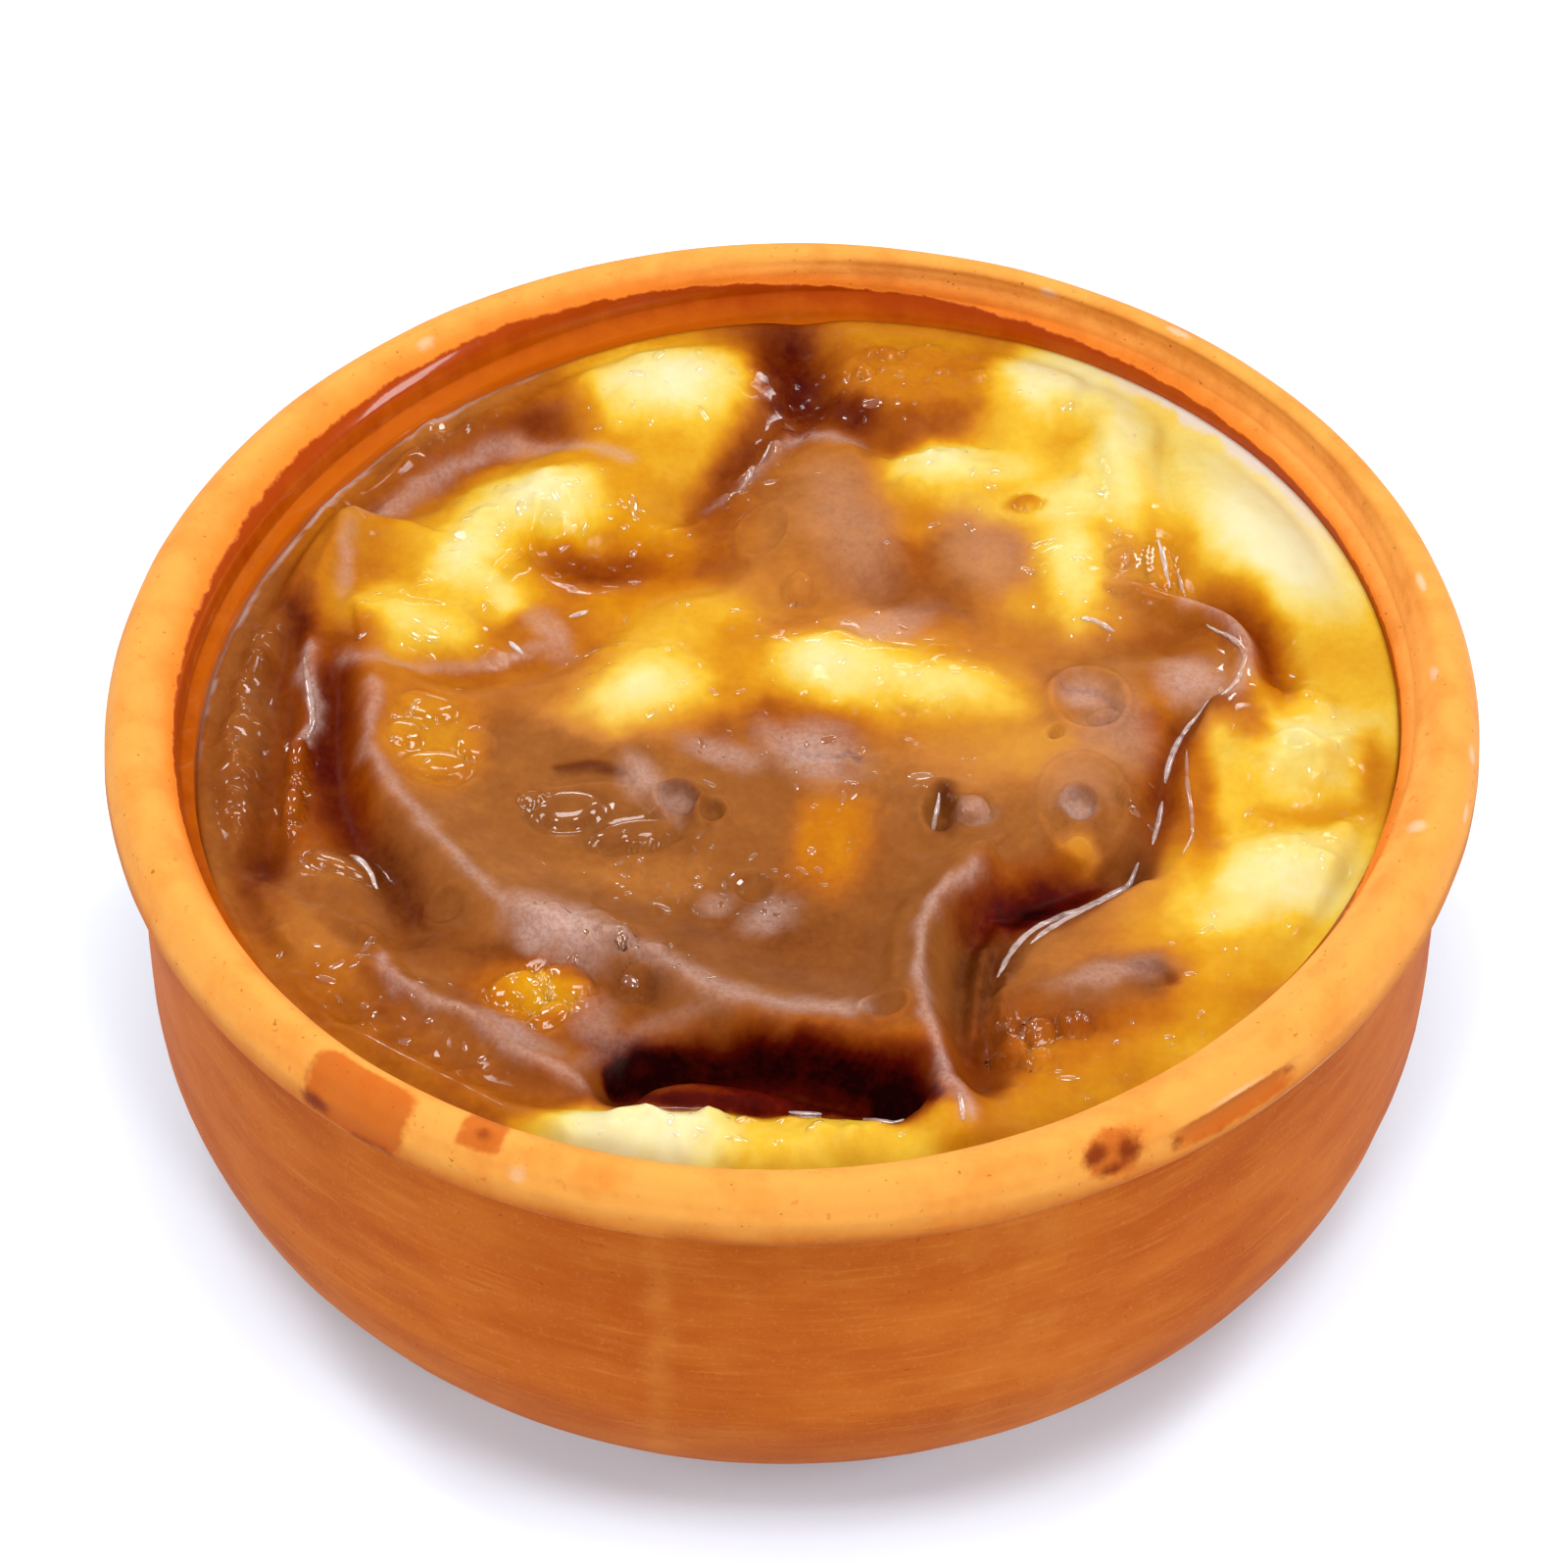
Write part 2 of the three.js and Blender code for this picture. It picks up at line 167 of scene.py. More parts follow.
# Distance from points to a route, and the side they lie on (1 is left). Points past reach stay at that
# distance.
def nearRoute(x, y, route, reach):
    line = smoothRoute(route)
    distance, side = np.full(x.shape, float(reach)), np.ones(x.shape)
    low, high = line.min(0) - reach, line.max(0) + reach
    near = (x > low[0]) & (x < high[0]) & (y > low[1]) & (y < high[1])
    px, py = x[near], y[near]
    best, bestSide = distance[near], side[near]
    for (ax, ay), (stepX, stepY) in zip(line[:-1], np.diff(line, axis=0)):
        part = np.clip(((px - ax) * stepX + (py - ay) * stepY) / (stepX ** 2 + stepY ** 2), 0, 1)
        dx, dy = px - ax - stepX * part, py - ay - stepY * part
        away = np.hypot(dx, dy)
        bestSide = np.where(away < best, np.where(stepX * dy - stepY * dx < 0, -1, 1), bestSide)
        best = np.minimum(best, away)
    distance[near], side[near] = best, bestSide
    return distance, side


# Distance from an ellipse's middle, 1 at its edge. A shape starts with its middle's x and y, its half
# length, its half width and the turn of its long side from +X in degrees.
def ellipseDistance(x, y, shape):
    middleX, middleY, long, wide, turn = shape[:5]
    dx, dy, turn = x - middleX, y - middleY, turn * degrees
    along = (dx * math.cos(turn) + dy * math.sin(turn)) / long
    across = (dy * math.cos(turn) - dx * math.sin(turn)) / wide
    return np.hypot(along, across)


# Seeded places inside an ellipse, spread evenly over it.
def scatterPlaces(shape, count, draw):
    middleX, middleY, long, wide, turn = shape[:5]
    around = draw.uniform(0, 2 * math.pi, count)
    far, turn = np.sqrt(draw.uniform(0, 1, count)), turn * degrees
    along, across = far * np.cos(around) * long, far * np.sin(around) * wide
    return (middleX + along * math.cos(turn) - across * math.sin(turn),
            middleY + along * math.sin(turn) + across * math.cos(turn))


# Turn from one bearing to another, in degrees from -180 to 180.
def bearingGap(bearing, middle):
    return (bearing - middle + 180) % 360 - 180


# How far the outside stands out from round, and the inside too, whose mouth is a little oval and off
# centre. The mouth's form starts at fadeFrom and is full at fadeTo, in height.
outOfRound = {"amount": 0.45, "towards": 52}
mouth = {"oval": 1.3, "towards": 57, "shiftX": 0.65, "shiftY": 0.6, "fadeFrom": 30, "fadeTo": 42}


def outsideOffset(angle):
    return outOfRound["amount"] * np.cos(2 * (angle - outOfRound["towards"] * degrees))


def insideOffset(angle, height):
    oval = mouth["oval"] * np.cos(2 * (angle - mouth["towards"] * degrees))
    shift = mouth["shiftX"] * np.cos(angle) + mouth["shiftY"] * np.sin(angle)
    fade = smoothStep(mouth["fadeFrom"], mouth["fadeTo"], height)
    return (oval + shift) * fade + outsideOffset(angle)


# A mesh object from points in millimetres, with smooth faces and one value per vertex for each attribute.
def makePiece(name, points, faces, attributes):
    mesh = bpy.data.meshes.new(name)
    mesh.from_pydata((np.asarray(points) * millimetre).tolist(), [], faces)
    mesh.polygons.foreach_set("use_smooth", np.ones(len(mesh.polygons), bool))
    for label, values in attributes.items():
        layer = mesh.attributes.new(label, "FLOAT", "POINT")
        layer.data.foreach_set("value", np.asarray(values, np.float32).ravel())
    mesh.update()
    thing = bpy.data.objects.new(name, mesh)
    bpy.context.scene.collection.objects.link(thing)
    return thing


# The paint that looks like a colour, given from 0 to 255, under this studio's light: the colour is made
# linear, its gloss is taken off and the light divided out.
def asLit(colour, light=1.7, gloss=0.004, darkest=0.0005, palest=0.92):
    share = np.array(colour, float) / 255
    linear = np.where(share <= 0.04045, share / 12.92, ((share + 0.055) / 1.055) ** 2.4)
    return (*np.clip((linear - gloss) / light, darkest, palest).tolist(), 1.0)


def newMaterial(name):
    material = bpy.data.materials.new(name)
    material.use_nodes = True
    return material, material.node_tree, material.node_tree.nodes["Principled BSDF"]


# Puts a number, a colour or another node's output on an input.
def feed(tree, socket, value):
    if isinstance(value, bpy.types.NodeSocket):
        tree.links.new(value, socket)
    else:
        socket.default_value = value


def maths(tree, operation, first, second=0.0, clamp=False):
    node = tree.nodes.new("ShaderNodeMath")
    node.operation = operation
    node.use_clamp = clamp
    feed(tree, node.inputs[0], first)
    feed(tree, node.inputs[1], second)
    return node.outputs[0]


def attribute(tree, name):
    node = tree.nodes.new("ShaderNodeAttribute")
    node.attribute_name = name
    return node.outputs["Fac"]


# Noise of about one lump per size millimetres, from 0 to 1.
def lumps(tree, size, detail=2.0, roughness=0.5, stretch=(1, 1, 1)):
    mapping = tree.nodes.new("ShaderNodeMapping")
    mapping.inputs["Scale"].default_value = stretch
    tree.links.new(tree.nodes.new("ShaderNodeTexCoord").outputs["Object"], mapping.inputs["Vector"])
    node = tree.nodes.new("ShaderNodeTexNoise")
    node.inputs["Scale"].default_value = 1 / (size * millimetre)
    node.inputs["Detail"].default_value = detail
    node.inputs["Roughness"].default_value = roughness
    tree.links.new(mapping.outputs[0], node.inputs["Vector"])
    return node.outputs["Fac"]


# Noise round zero, times an amount.
def wander(tree, amount, size, detail=3, roughness=0.6, stretch=(1, 1, 1)):
    centred = maths(tree, "SUBTRACT", lumps(tree, size, detail, roughness, stretch), 0.5)
    return maths(tree, "MULTIPLY", centred, amount)


# Maps a value from one range to another, clamped, along a smooth step.
def stepped(tree, value, low, high, toLow=0.0, toHigh=1.0):
    node = tree.nodes.new("ShaderNodeMapRange")
    node.interpolation_type = "SMOOTHSTEP"
    feed(tree, node.inputs["Value"], value)
    for label, number in (("From Min", low), ("From Max", high), ("To Min", toLow), ("To Max", toHigh)):
        node.inputs[label].default_value = number
    return node.outputs[0]


def ramp(tree, value, stops):
    node = tree.nodes.new("ShaderNodeValToRGB")
    elements = node.color_ramp.elements
    while len(elements) < len(stops):
        elements.new(0.5)
    for element, (place, colour) in zip(elements, stops):
        element.position = place
        element.color = asLit(colour)
    feed(tree, node.inputs["Fac"], value)
    return node.outputs["Color"]


def blend(tree, share, first, second):
    node = tree.nodes.new("ShaderNodeMix")
    node.data_type = "RGBA"
    feed(tree, node.inputs["Factor"], share)
    feed(tree, node.inputs[6], first)
    feed(tree, node.inputs[7], second)
    return node.outputs[2]


def bump(tree, height, distance, strength=1.0, under=None):
    node = tree.nodes.new("ShaderNodeBump")
    node.inputs["Distance"].default_value = distance * millimetre
    feed(tree, node.inputs["Strength"], strength)
    feed(tree, node.inputs["Height"], height)
    if under is not None:
        tree.links.new(under, node.inputs["Normal"])
    return node.outputs[0]


dish = {
    "rimRadius": 57.5, "height": 47.4, "rimHalfWidth": 2.75, "rimRise": 4.2, "lipThickness": 1.1,
    "neckRadius": 54.2, "neckHeight": 41.6, "bellyRadius": 55.6, "bellyHeight": 19.9, "footRadius": 38.2,
    "wallRadius": 50.5, "floorThickness": 5.2, "cornerOut": 15.5, "cornerUp": 16.8,
    "wallFlare": [(51.1, 41.4), (50.6, 39.6), (50.5, 34)], "wallTop": 42.6, "wallFoot": 24,
    "poleRing": 6, "footRing": 36, "floorRing": 28,   # first and last rings of the flat parts
    "crestSteps": 34, "angles": 640,
    # how far the clay's unevenness stands out, how wide the dents are and how close the rings
    "throwingRings": 0.05, "dents": 0.10, "dentCell": 9, "dentSeed": 5, "ringTurns": 4.1, "outward": 0.05,
}

# Marks on the clay: bearing in degrees, way down from the crest along the profile (outside is positive),
# half size round the rim, half size down the profile, strength, and 1 where the edges are straight.
clayMarks = {
    "scorch": [
        (-125.6, 2.6, 5.2, 3.2, 1.0, 1), (-114.8, 0.2, 2.2, 2.0, 0.75, 1), (-52.5, 3.9, 7.2, 1.3, 0.7, 1),
        (-64.0, 2.6, 3.2, 2.6, 0.9, 0), (-104.5, 1.6, 1.6, 1.0, 0.4, 0),
    ],
    "burn": [
        (-129.3, 4.6, 2.0, 1.3, 0.9, 0), (-123.5, 5.7, 4.0, 0.8, 0.7, 0), (-130.6, 2.4, 0.6, 3.0, 0.5, 0),
        (-120.6, 3.4, 0.5, 2.2, 0.35, 0), (-114.6, 0.6, 1.2, 0.9, 0.7, 0), (-62.6, 2.8, 1.3, 1.7, 0.95, 0),
        (-65.4, 2.2, 1.5, 1.2, 0.95, 0), (-64.2, 3.9, 1.8, 0.8, 0.8, 0), (-58.4, 4.2, 0.9, 0.8, 0.7, 0),
        (-46.8, 3.7, 1.3, 0.6, 0.6, 0),
    ],
    "pale": [
        (65.4, -1.6, 1.5, 1.2, 1.0, 0), (52, 0.2, 2.2, 0.8, 1.0, 0), (12.3, -0.4, 1.8, 0.6, 1.0, 0),
        (1, -1.4, 1.2, 0.8, 1.0, 0), (-8, 2.4, 1.4, 0.9, 1.0, 0), (-14.4, 3.0, 1.6, 0.7, 1.0, 0),
        (-18.6, -1.0, 1.2, 1.2, 1.0, 0), (128.7, -1.1, 1.8, 0.8, 0.8, 0), (-111.1, 2.6, 1.6, 1.3, 0.7, 0),
        (-108.8, 6.4, 2.6, 0.8, 0.8, 0), (-43.0, 5.9, 15.0, 0.55, 0.9, 0), (-52.0, 2.5, 5.6, 0.4, 0.8, 0),
    ],
}

# Grooves worn into the rim: bearing, way down, half sizes and depth.
clayGrooves = [(-52.5, 3.8, 7.0, 0.8, 0.4), (-64.2, 2.9, 1.8, 1.5, 0.2)]

# Where the body is lighter (share > 0) or redder (share < 0): bearing, half width in degrees and share.
clayTones = [
    (-100.5, 2.2, 0.5), (-109, 6, -0.45), (-90, 7, -0.3), (-70, 9, 0.25), (40, 30, 0.2), (150, 25, -0.3),
]

# Where the glaze on the inside wall ends: bearing in degrees and way down from the crest.
glazeEdge = [
    (-180, -2.9), (-160, -3.3), (-120, -4.2), (-60, -5.0), (-30, -6.0), (0, -7.3), (20, -7.6), (40, -7.1),
    (60, -6.3), (80, -5.1), (90, -4.3), (100, -3.6), (110, -2.9), (120, -2.4), (135, -2.2), (150, -2.3),
    (165, -2.7), (180, -2.9),
]


# Points on an ellipse's arc as [radius, height]; 0 degrees is outward and 90 is up.
def arc(middleRadius, middleHeight, out, up, fromAngle, toAngle, steps):
    t = np.linspace(fromAngle, toAngle, steps + 1) * degrees
    return np.stack([middleRadius + out * np.cos(t), middleHeight + up * np.sin(t)], 1)


# The dish's outline: foot, belly and neck, the rim's rounded lower edge, the crest, the wall and floor.
def dishOutline():
    lipHeight = dish["height"] - dish["rimRise"]
    crestRadius = dish["rimRadius"] - dish["rimHalfWidth"]
    foot = np.stack([np.linspace(dish["poleRing"], dish["footRing"], 7), np.zeros(7)], 1)
    belly = arc(dish["footRadius"], dish["bellyHeight"], dish["bellyRadius"] - dish["footRadius"],
                dish["bellyHeight"], -90, 0, 24)
    part = np.linspace(0.08, 1, 14)
    neck = np.stack([dish["bellyRadius"] - (dish["bellyRadius"] - dish["neckRadius"]) * part ** 2,
                     dish["bellyHeight"] + (dish["neckHeight"] - dish["bellyHeight"]) * part], 1)
    lip = arc(dish["rimRadius"] - dish["lipThickness"], lipHeight, dish["lipThickness"],
              dish["lipThickness"], -115, -20, 7)
    crest = arc(crestRadius, lipHeight, dish["rimHalfWidth"], dish["rimRise"], 0, 180, dish["crestSteps"])
    flare = np.array(dish["wallFlare"])
    heights = np.linspace(dish["wallTop"], dish["wallFoot"], 18)
    wall = np.stack([np.interp(-heights, -flare[:, 1], flare[:, 0]), heights], 1)
    corner = arc(dish["wallRadius"] - dish["cornerOut"], dish["floorThickness"] + dish["cornerUp"],
                 dish["cornerOut"], dish["cornerUp"], 0, -90, 12)
    floor = np.stack([np.linspace(dish["floorRing"], dish["poleRing"], 4),
                      np.full(4, dish["floorThickness"])], 1)
    outline = np.vstack([foot, belly, neck, lip, crest, wall, corner, floor])
    crestAt = len(foot) + len(belly) + len(neck) + len(lip) + dish["crestSteps"] // 2
    return outline, crestAt


# Distance from a mark's middle as a share of its half size, on the unrolled rim.
def markDistance(bearing, down, mark, boxy=0):
    middle, middleDown, halfRound, halfDown = mark[:4]
    across = bearingGap(bearing, middle) * degrees * dish["rimRadius"] / halfRound
    deep = (down - middleDown) / halfDown
    if boxy:
        return (across ** 6 + deep ** 6) ** 0.5   # steep, so the mark is even up to its edge
    return np.hypot(across, deep)


# Turns the outline round the axis, pushes it out of round, adds the thrower's unevenness and closes both
# poles. The rings are a sine of the height, and the dents are layered noise on the unrolled surface.
def makeDish():
    outline, crestAt = dishOutline()
    lengths = np.concatenate([[0], np.cumsum(np.hypot(*np.diff(outline, axis=0).T))])
    down = (lengths[crestAt] - lengths)[:, None]          # positive outside, negative inside
    count = dish["angles"]
    angle = np.linspace(0, 2 * math.pi, count, endpoint=False)[None, :]
    radius, height = outline[:, 0:1], outline[:, 1:2]
    inside = (np.arange(len(outline)) > crestAt)[:, None]
    outer = outsideOffset(angle)
    crestBlend = smoothStep(-4, 0, down)                  # the mouth's oval fades out over the crest
    inner = insideOffset(angle, height)
    offset = np.where(inside, inner + (outer - inner) * crestBlend, outer)
    full = np.where(inside, dish["wallRadius"], dish["rimRadius"])
    roundWay = angle * dish["rimRadius"]
    bodyFade = smoothStep(0, 3, height) * smoothStep(-6, 0, down)
    waves = height * dish["ringTurns"] + 1.2 * np.sin(height * 1.3 + 2 * angle)
    rings = np.sin(waves) * dish["throwingRings"]
    seamless = np.minimum(smoothStep(0, 0.15, angle), smoothStep(0, 0.15, 2 * math.pi - angle))
    dents = layeredNoise(roundWay + 0 * height, down + 0 * angle, dish["dentCell"], dish["dentSeed"])
    dents = dents * dish["dents"] * seamless
    offset = offset + (rings - dish["throwingRings"] + dents - dish["outward"]) * bodyFade
    reach = radius * (1 + offset / full)
    bearing = bearingGap(angle / degrees, 0)
    for groove in clayGrooves:
        reach = reach - groove[4] * np.exp(-markDistance(bearing, down, groove) ** 4)
    points = np.stack([reach * np.cos(angle), reach * np.sin(angle), height + 0 * angle], -1)

    marks = {name: np.zeros(reach.shape) for name in clayMarks}
    for name, patches in clayMarks.items():
        for patch in patches:
            far = markDistance(bearing, down, patch, patch[5])
            marks[name] = np.maximum(marks[name], patch[4] * np.exp(-far ** 2 * 1.2))
    marks["glaze"] = np.where(inside, np.interp(bearing, *np.array(glazeEdge).T) - down, -3 - 0 * reach)
    marks["down"] = down + 0 * angle
    marks["tone"] = 0 * reach + sum(share * np.exp(-(bearingGap(bearing, middle) / wide) ** 2)
                                    for middle, wide, share in clayTones)

    rows = len(outline)
    index = np.arange(rows * count).reshape(rows, count)
    after = np.roll(index, -1, axis=1)
    quads = np.stack([index[:-1], after[:-1], after[1:], index[1:]], -1).reshape(-1, 4).tolist()
    flat = points.reshape(-1, 3)
    poles = np.array([[0, 0, 0], [0, 0, dish["floorThickness"]]])
    bottom, top = len(flat), len(flat) + 1
    fans = np.stack([np.full(count, bottom), after[0], index[0]], -1).tolist()
    fans += np.stack([np.full(count, top), index[-1], after[-1]], -1).tolist()
    values = {label: np.append(mark.ravel(), [mark[0, 0], mark[-1, 0]]) for label, mark in marks.items()}
    piece = makePiece("clayDish", np.vstack([flat, poles]), quads + fans, values)
    piece.data.materials.append(clayMaterial())
    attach(piece, "root")
    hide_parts("dish")
    print("dish turned:", len(flat), "points")


# The clay's colours from 0 to 255, the light each part of the dish is painted for, and its gloss. The rim's
# inner face has its own paler colour and a low light, so it is painted paler than it is: painted light over the
# shade it lies in.
clay = {
    "rim": (252, 172, 78), "innerRim": (236, 130, 44), "body": (206, 108, 30), "deep": (184, 84, 14),
    "light": (224, 138, 56), "grain": (232, 150, 82), "scorch": (200, 84, 6), "burn": (128, 42, 6),
    "pale": (250, 214, 184), "thickGlaze": (172, 66, 4), "thinGlaze": (206, 100, 20), "pits": (150, 66, 14),
    "paintedLitFace": (250, 170, 84), "rimLight": 1.45, "faceLight": 1.1, "bodyLight": 1.28,
    "bareRoughness": 0.6, "glazeRoughness": 0.2, "specular": 0.06, "glazeCoat": 0.5, "coatRoughness": 0.07,
    # lump size, detail and roughness of the bumps, and how deep they are in mm
    "fineLumps": (0.35, 4, 0.7), "fineDeep": 0.05, "coarseLumps": (2.4, 3, 0.6), "coarseDeep": 0.14,
    "glazeDeep": 0.12,
}

# Lumpy tones: lump size in mm, detail, roughness, stretch along Z, where the tone starts and where it is
# full, and its share there.
clayLumps = {
    "streaks": (16, 5, 0.6, 3.2, 0.32, 0.72, 1.0), "turned": (7, 4, 0.6, 14, 0.5, 0.75, 0.35),
    "mottled": (6, 4, 0.65, 1, 0.4, 0.75, 0.55), "grain": (0.4, 3, 0.7, 1, 0.54, 0.72, 0.24),
    "specks": (0.9, 2, 0.5, 1, 0.66, 0.76, 0.34), "pits": (0.55, 1, 0.5, 1, 0.73, 0.79, 0.6),
}

# How far edges wander: amount, lump size in mm, detail, roughness and stretch.
clayWander = {
    "down": (1.4, 5, 3, 0.6), "tone": (1.0, 4, 4, 0.6), "glaze": (1.1, 2.0, 4, 0.65),
    "ragged": (0.6, 1.2, 4, 0.65), "glazeStreaks": (4.0, 3, 3, 0.6, (1, 1, 0.4)),
}

# Where one look starts and where it is full, and its share at both ends if not 0 and 1. The first two go by
# the way down from the crest, the next three by the depth under the glaze's end, the others by their mark.
clayBands = {
    "rim": (3.4, 6.4, 1, 0), "paintedLitFace": (-0.6, -3.2), "innerRim": (-2.2, -0.1), "glaze": (-0.1, 0.25),
    "thinGlaze": (0.3, 4.5), "lighter": (0.05, 0.8, 0, 0.6), "deeper": (-0.05, -0.8, 0, 0.6),
    "scorch": (0.25, 0.65, 0, 0.75), "burn": (0.2, 0.9, 0, 0.85), "pale": (0.35, 0.9, 0, 0.55),
}


def clayColour(name, light="bodyLight"):
    return asLit(clay[name], clay[light])


def clayLump(tree, name):
    size, detail, roughness, stretch, low, high, share = clayLumps[name]
    return stepped(tree, lumps(tree, size, detail, roughness, (1, 1, stretch)), low, high, 0, share)


# Fired clay: a lighter worn rim, a darker mottled body, burns and pale smears, and glossy glaze inside. The
# rim's inner face is painted paler, as painted light over its shade.
def clayMaterial():
    material, tree, shader = newMaterial("firedClay")
    down, tone, glazeDepth = [maths(tree, "ADD", attribute(tree, name), wander(tree, *clayWander[name]))
                              for name in ("down", "tone", "glaze")]
    body = blend(tree, clayLump(tree, "streaks"), clayColour("body"), clayColour("deep"))
    body = blend(tree, clayLump(tree, "turned"), body, clayColour("light"))
    body = blend(tree, stepped(tree, tone, *clayBands["lighter"]), body, clayColour("light"))
    body = blend(tree, stepped(tree, tone, *clayBands["deeper"]), body, clayColour("deep"))
    # Under the crest the inner face takes its paler colour: painted light over its shade.
    rim = blend(tree, stepped(tree, down, *clayBands["paintedLitFace"]), clayColour("rim", "rimLight"),
                clayColour("paintedLitFace", "faceLight"))
    # Near the glaze's end the inner rim colour is also divided by the inner face's low light: painted light.
    rim = blend(tree, stepped(tree, glazeDepth, *clayBands["innerRim"]), rim,
                clayColour("innerRim", "faceLight"))
    rim = blend(tree, clayLump(tree, "mottled"), rim, clayColour("innerRim", "rimLight"))
    # The lighter rim gives way to the darker body a little way down the lip's outside. This is partly real clay
    # colour and partly painted shade where the lip turns under.
    colour = blend(tree, stepped(tree, down, *clayBands["rim"]), body, rim)
    for name, speck in (("grain", "grain"), ("specks", "deep"), ("pits", "pits")):
        colour = blend(tree, clayLump(tree, name), colour, clayColour(speck))
    ragged = wander(tree, *clayWander["ragged"])
    for name in ("scorch", "burn", "pale"):
        share = stepped(tree, maths(tree, "ADD", attribute(tree, name), ragged), *clayBands[name])
        colour = blend(tree, share, colour, clayColour(name, "rimLight"))
    glazed = stepped(tree, glazeDepth, *clayBands["glaze"])
    streaky = maths(tree, "ADD", glazeDepth, wander(tree, *clayWander["glazeStreaks"]))
    glaze = blend(tree, stepped(tree, streaky, *clayBands["thinGlaze"]), clayColour("thickGlaze"),
                  clayColour("thinGlaze"))
    feed(tree, shader.inputs["Base Color"], blend(tree, glazed, colour, glaze))
    feed(tree, shader.inputs["Roughness"],
         stepped(tree, glazed, 0, 1, clay["bareRoughness"], clay["glazeRoughness"]))
    shader.inputs["Specular IOR Level"].default_value = clay["specular"]
    feed(tree, shader.inputs["Coat Weight"], maths(tree, "MULTIPLY", glazed, clay["glazeCoat"]))
    shader.inputs["Coat Roughness"].default_value = clay["coatRoughness"]
    fine = bump(tree, lumps(tree, *clay["fineLumps"]), clay["fineDeep"],
                stepped(tree, glazed, 0, 1, 0.8, 0.2))
    coarse = bump(tree, lumps(tree, *clay["coarseLumps"]), clay["coarseDeep"], 0.7, fine)
    feed(tree, shader.inputs["Normal"], bump(tree, glazed, clay["glazeDeep"], 0.9, coarse))
    return material


pudding = {
    "skinLevel": 40.4, "fillRadius": 50.2, "highestSkin": 43.7, "softTop": 1.6,
    "wallFade": 2.2, "wallRelief": 0.25,      # how wide the relief dies down at the wall, and to what share
    "climb": 0.55, "climbReach": 0.5,         # how far the skin climbs the wall, and how wide
    "wallTouch": 0.75,                 # the visible skin reaches this much past the plain plug, to the clay
    "cells": 300,
    "side": [(50.75, 39.4), (50.45, 38), (50.3, 34), (50.2, 22), (46, 10), (34, 5.6)],
}

# Round swellings (height > 0) and dimples (height < 0): ellipse, height.
swellings = {
    "farLeftCream": (-12, 44, 7.5, 6, 20, 1.5), "farAmber": (11, 43, 6, 5.5, 0, 1.2),
    "farRightCream": (21.5, 43, 6, 4.5, -30, 1.5), "rightColumn": (28.5, 33, 9, 3.5, -75, 1.6),
    "rightWallCream": (40, 25, 9, 5, -60, 1.5), "middleRightCream": (13, 32, 5, 3.8, 10, 1.6),
    "innerColumn": (24, 18, 9, 3.2, -88, 1.3), "leftCreamTop": (-21, 28, 7.5, 3.8, 30, 1.8),
    "leftCreamFoot": (-28, 18, 5, 3.6, 55, 1.4), "leftYellow": (-33, 12, 6, 3.4, -25, 1.4),
    "centreLeft": (-13, 5, 5.5, 4.2, 35, 1.5), "centreAmber": (-9.5, 14.5, 4.5, 3.5, 0, 1.0),
    "centreRight": (3.5, 7.5, 5.5, 3.6, -15, 1.7), "centreRightTail": (14.5, 5, 6, 3.4, -10, 1.5),
    "rightUpper": (43, -3, 5.5, 4.2, -20, 1.7), "rightLower": (39.5, -17, 7.5, 4.6, 35, 1.9),
    "rightMiddle": (36, -8, 6.5, 2.8, 75, 0.9), "frontCream": (-12, -45.5, 8.5, 3.2, -4, 1.9),
    "frontYellow": (3.5, -46, 7.5, 2.8, 4, 1.3), "blisteredDome": (24, -5, 8, 7.5, 90, 1.3),
    "blisteredLobe": (24.5, -11, 4.8, 3.6, 90, 0.8), "tongue": (1.5, 28, 9, 3.6, 90, 0.9),
    "frostyLobe": (33, 6, 5.5, 3.8, -20, 0.9), "leftBubble": (-37, -18, 4.2, 2.6, -15, 1.4),
    "tentPeak": (-41.6, 27.6, 1.6, 1.5, 0, 1.6), "frontRightLobe": (24, -28.5, 6, 2.4, 20, 1.0),
    "brownDimple": (-17, 20.5, 5.6, 3.2, -10, -1.6), "leftHole": (-44, -15, 1.6, 2.6, -20, -1.3),
    "amberPocket": (32.5, 20, 3, 3.6, 0, -1.2), "farDimple": (24.5, 37.5, 2.6, 2, 40, -0.9),
    "sheetHollow": (-8, -20, 16, 9, -20, -1.3), "clusterHollow": (-20, -30.5, 3.4, 2.6, 30, -1.0),
}

